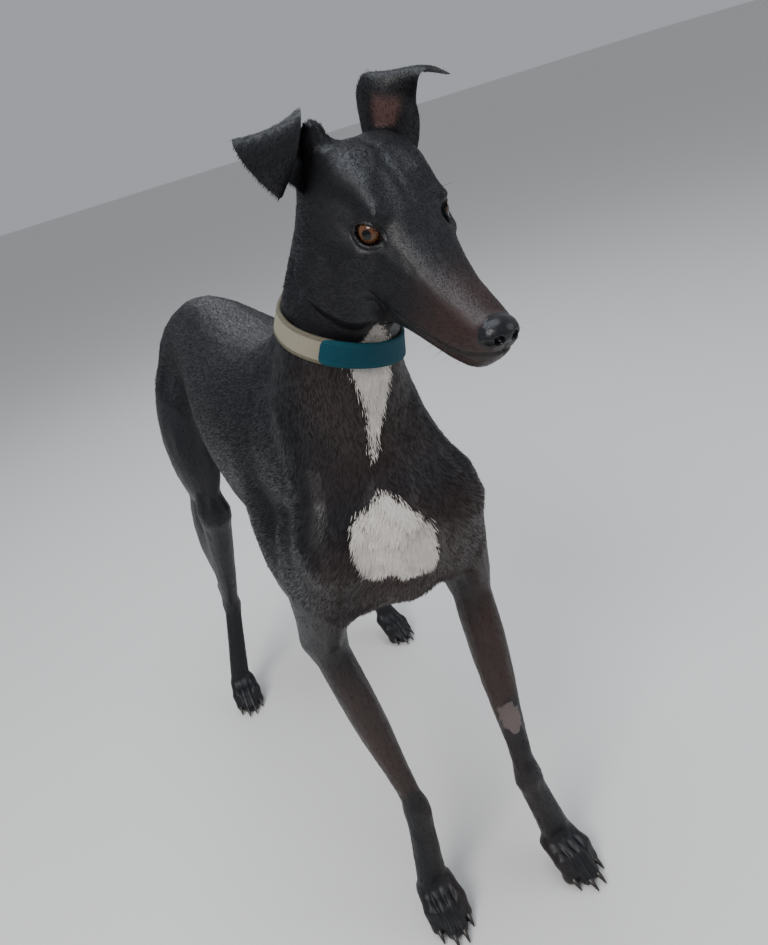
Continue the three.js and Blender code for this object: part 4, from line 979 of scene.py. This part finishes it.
# Claws: one to each toe, curving forward and down
claws = {
    "inner": 35.7, "outer": 20.7, "length": 17.3, "height": 12.2, "drop": 8.5, "arch": 1.2,
    "apart": 1.05, "fan": 0.04, "radius": 3.7, "taper": 0.78, "colour": (0.022, 0.018, 0.016, 1),
}
clawParts = []
t = np.linspace(0, 1, 9)
for place, turn, size in paws:
    for toe in toes:
        across = toe * skinValues["toeGap"] * claws["apart"] * (1 + claws["fan"] * t)
        ahead = claws["inner" if abs(toe) < 1 else "outer"] + claws["length"] * t
        height = claws["height"] - claws["drop"] * t ** 1.5 + claws["arch"] * np.sin(math.pi * t)
        path = [fromPaw(*spot, place, turn, size) for spot in zip(across, ahead, height)]
        clawParts.append(tube(fromDog(path), claws["radius"] * size * (1 - claws["taper"] * t ** 2) / 1000))
clawMaterial = Graph("claw", Base_Color=claws["colour"], Roughness=0.3).material
clawObject = meshFrom("claws", *several(clawParts), clawMaterial)
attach(clawObject, "root")
print("claws set")

# Collar: webbing along the CAD bands' own outer face, in two colours
strap = {
    "centre": (6, -80, 727), "up": (0.42, -0.3, 1), "half": 11.4, "thick": 2.3, "start": 35, "around": 220,
    "heights": (-9.5, 0, 9.5), "outside": 150, "missed": 60.0,
    # First and last angle of each strap, and how far it stands off the bands
    "cream": (33, 241, -0.15), "teal": (231, 395, 0.6),
    "creamColours": ((0.29, 0.27, 0.20), (0.16, 0.145, 0.105), (0.085, 0.07, 0.05)),
    "tealColours": ((0.003, 0.056, 0.082), (0.0015, 0.027, 0.041), (0.006, 0.075, 0.10)),
    # Cross-section, over the half width and the thickness
    "section": ((-1, -1), (-1, -0.3), (-1, 0.2), (-0.965, 0.42), (-0.9, 0.5), (-0.5, 0.53), (0, 0.54),
                (0.5, 0.53), (0.9, 0.5), (0.965, 0.42), (1, 0.2), (1, -0.3), (1, -1)),
}
collarUp = unit(strap["up"])
collarX = unit(np.array((1.0, 0, 0)) - collarUp * collarUp[0])
collarY = np.cross(collarUp, collarX)
bandPoints, bandFaces = [], []
for name in ("collar_teal", "collar_cream"):
    piece = nodeCopy(name)
    base = sum(len(p) for p in bandPoints)
    bandPoints.append(points(piece))
    bandFaces += [[base + v for v in polygon.vertices] for polygon in piece.data.polygons]
    bpy.data.objects.remove(piece)
bandTree = BVHTree.FromPolygons(np.concatenate(bandPoints).tolist(), bandFaces)


def onCollar(angle, radius, height):
    out = math.cos(angle) * collarX + math.sin(angle) * collarY
    return fromDog(np.array(strap["centre"]) + radius * out + height * collarUp)


def bandRadius(angle, height):
    start = onCollar(angle, strap["outside"], height)
    way = Vector(fromDog(strap["centre"]) + height / 1000 * collarUp - start).normalized()
    hit = bandTree.ray_cast(Vector(start), way)
    return strap["outside"] - hit[3] * 1000 if hit[0] is not None else strap["missed"]


angles = np.radians(np.linspace(strap["start"], strap["start"] + 360, strap["around"] + 1))
window = np.hanning(9) / np.hanning(9).sum()
radiusRows = []
for height in strap["heights"]:
    row = np.array([bandRadius(a, height) for a in angles])
    wide = np.concatenate((row[-9:-1], row, row[1:9]))
    radiusRows.append(np.convolve(wide, window, "same")[8:-8])


def strapMesh(name, fromAngle, toAngle, raised, roundEnd, material):
    use = np.radians(np.linspace(fromAngle, toAngle, max(int((toAngle - fromAngle) * 0.8), 8)))
    co, uv = [], []
    for angle in use:
        fromEnd = math.degrees(angle - use[0]) / 6.0
        narrow = 0.55 + 0.45 * math.sqrt(max(1 - (1 - fromEnd) ** 2, 0)) if roundEnd and fromEnd < 1 else 1.0
        radii = [np.interp(angle, angles, row) for row in radiusRows]
        for h, out in strap["section"]:
            height = h * strap["half"] * narrow
            base = np.interp(height, strap["heights"], radii)
            co.append(onCollar(angle, base + raised + strap["thick"] * (out - 0.5), height))
            uv.append((math.degrees(angle) / 10.0, 0.5 + 0.5 * h * narrow))
    n = len(strap["section"])
    co += [np.mean(co[:n], 0), np.mean(co[-n:], 0)]
    uv += [uv[0], uv[-1]]
    obj = meshFrom(name, co, sleeve(len(use), n), material)
    putMap(obj, "StrapMap", np.array(uv)[cornerVertices(obj)])
    activate(obj)
    bpy.ops.object.mode_set(mode="EDIT")
    bpy.ops.mesh.select_all(action="SELECT")
    bpy.ops.mesh.normals_make_consistent(inside=False)
    bpy.ops.object.mode_set(mode="OBJECT")
    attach(obj, "root")
    return obj


def stripeAt(g, wire, centre):
    return 1 - g.maths("ABSOLUTE", wire - centre, 0.0).between(0.008, 0.028)


def webbing(name, base, dark, stitch, band):
    # band is the width of the darker edge, as a share of the strap's
    g = Graph(name, Specular_IOR_Level=0.2)
    u, v, _ = g.split(g.node("ShaderNodeUVMap", {"uv_map": "StrapMap"}))
    ribs = g.maths("SINE", u * 62.0 + g.maths("SINE", v * 90.0, 0.0) * 1.4, 0.0)
    weave = ribs * g.maths("SINE", v * 130.0, 0.0)
    fuzz = g.noise(g.place(), 700.0, 3.0)
    edge = 1 - v.between(band, band + 0.03) * (1 - v.between(1 - band - 0.03, 1 - band))
    thread = stripeAt(g, v, 0.13) + stripeAt(g, v, 0.87)
    dash = g.maths("SINE", u * 34.0, 0.0).between(-0.15, 0.15)
    colour = g.mix((weave * 0.18 + fuzz * 0.55).clamped(), base, dark)
    colour = g.mix(edge, colour, g.mix(fuzz, dark, stitch))
    colour = g.mix((thread * dash).clamped(), colour, stitch)
    normal = g.bump(weave * 0.5 + fuzz * 0.4 + thread * dash * 1.2 - edge * 0.6, 0.55, 0.0006)
    return g.finish(Base_Color=colour, Roughness=0.72 + (fuzz - 0.5) * 0.25, Normal=normal)


teal = webbing("tealWebbing", *strap["tealColours"], 0.05)
cream = webbing("creamWebbing", *strap["creamColours"], 0.10)
creamStrap = strapMesh("strapCream", *strap["cream"], False, cream)
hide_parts("collar_cream")
tealStrap = strapMesh("strapTeal", *strap["teal"], True, teal)
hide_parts("collar_teal")

# The slide and the ring: node, slot, colour, roughness and metal
fittings = {
    "collarSlide": ("collar_slide", "collar_fitting", (0.012, 0.012, 0.013, 1), 0.35, 0.0),
    "collarRing": ("collar_ring", "collar_metal", (0.55, 0.55, 0.56, 1), 0.22, 1.0),
}
for name, (node, slot, colour, rough, metal) in fittings.items():
    piece = nodeCopy(node)
    piece.name = piece.data.name = name
    applied(piece, "BEVEL", width=0.0004, segments=2, limit_method="ANGLE")
    activate(piece)
    bpy.ops.object.shade_smooth_by_angle(angle=0.7)
    piece.data.materials.append(Graph(name, Base_Color=colour, Roughness=rough, Metallic=metal).material)
    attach(piece, "root")
    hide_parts(node)
print("collar set")

# Studio: floor, lights and the photo's camera
studio = {
    "floor": (0.72, 0.71, 0.69, 1), "sky": (0.9, 0.93, 1.0, 1), "skyStrength": 0.42,
    # Place, target, width, energy and colour
    "lights": {
        "keyLight": ((-1.7, -1.6, 2.5), (0, -0.1, 0.6), 1.5, 62.0, (1, 0.985, 0.96)),
        "fillLight": ((2.2, -1.8, 1.5), (0, -0.1, 0.6), 1.8, 16.0, (0.93, 0.96, 1)),
        "rimLight": ((0.6, 2.3, 2.2), (0, 0.1, 0.6), 1.4, 9.0, (0.95, 0.97, 1)),
        "topLight": ((0, -0.2, 3.2), (0, -0.1, 0.5), 2.4, 60.0, (0.86, 0.92, 1)),
    },
}
bpy.ops.mesh.primitive_plane_add(size=120, location=(0, 0, 0))
floor = bpy.context.object
floor.name = "studioFloor"
floor.data.materials.append(Graph("floorPaper", Base_Color=studio["floor"], Roughness=0.8).material)
world = bpy.data.worlds.new("studioWorld")
world.use_nodes = True
world.node_tree.nodes["Background"].inputs["Color"].default_value = studio["sky"]
world.node_tree.nodes["Background"].inputs["Strength"].default_value = studio["skyStrength"]
bpy.context.scene.world = world


def softLight(name, place, target, size, energy, colour):
    lamp = bpy.data.lights.new(name, "AREA")
    lamp.shape, lamp.size, lamp.energy, lamp.color = "DISK", size, energy, colour
    obj = bpy.data.objects.new(name, lamp)
    obj.location = place
    obj.rotation_euler = (Vector(target) - Vector(place)).to_track_quat("-Z", "Y").to_euler()
    bpy.context.scene.collection.objects.link(obj)


for name, values in studio["lights"].items():
    softLight(name, *values)

view = {
    "azimuth": -20.5, "elevation": 24.0, "roll": -17.2, "distance": 0.783, "target": (17, -63, 571),
    "film": 36, "focal": 795 / 945 * 36,
}
az, el, roll = (math.radians(view[k]) for k in ("azimuth", "elevation", "roll"))
back = np.array((math.sin(az) * math.cos(el), -math.cos(az) * math.cos(el), math.sin(el)))
right = np.array((math.cos(az), math.sin(az), 0))
upward = np.cross(back, right)
r = math.cos(roll) * right + math.sin(roll) * upward
u = math.cos(roll) * upward - math.sin(roll) * right
lens = bpy.data.cameras.new("photoCamera")
lens.sensor_fit, lens.sensor_height, lens.sensor_width = "VERTICAL", view["film"], view["film"]
lens.lens, lens.clip_start = view["focal"], 0.02
camera = bpy.data.objects.new("photoCamera", lens)
place = fromDog(view["target"]) + back * view["distance"]
camera.matrix_world = Matrix([[r[i], u[i], back[i], place[i]] for i in range(3)] + [[0, 0, 0, 1]])
bpy.context.scene.collection.objects.link(camera)
bpy.context.scene.camera = camera
print("studio set")
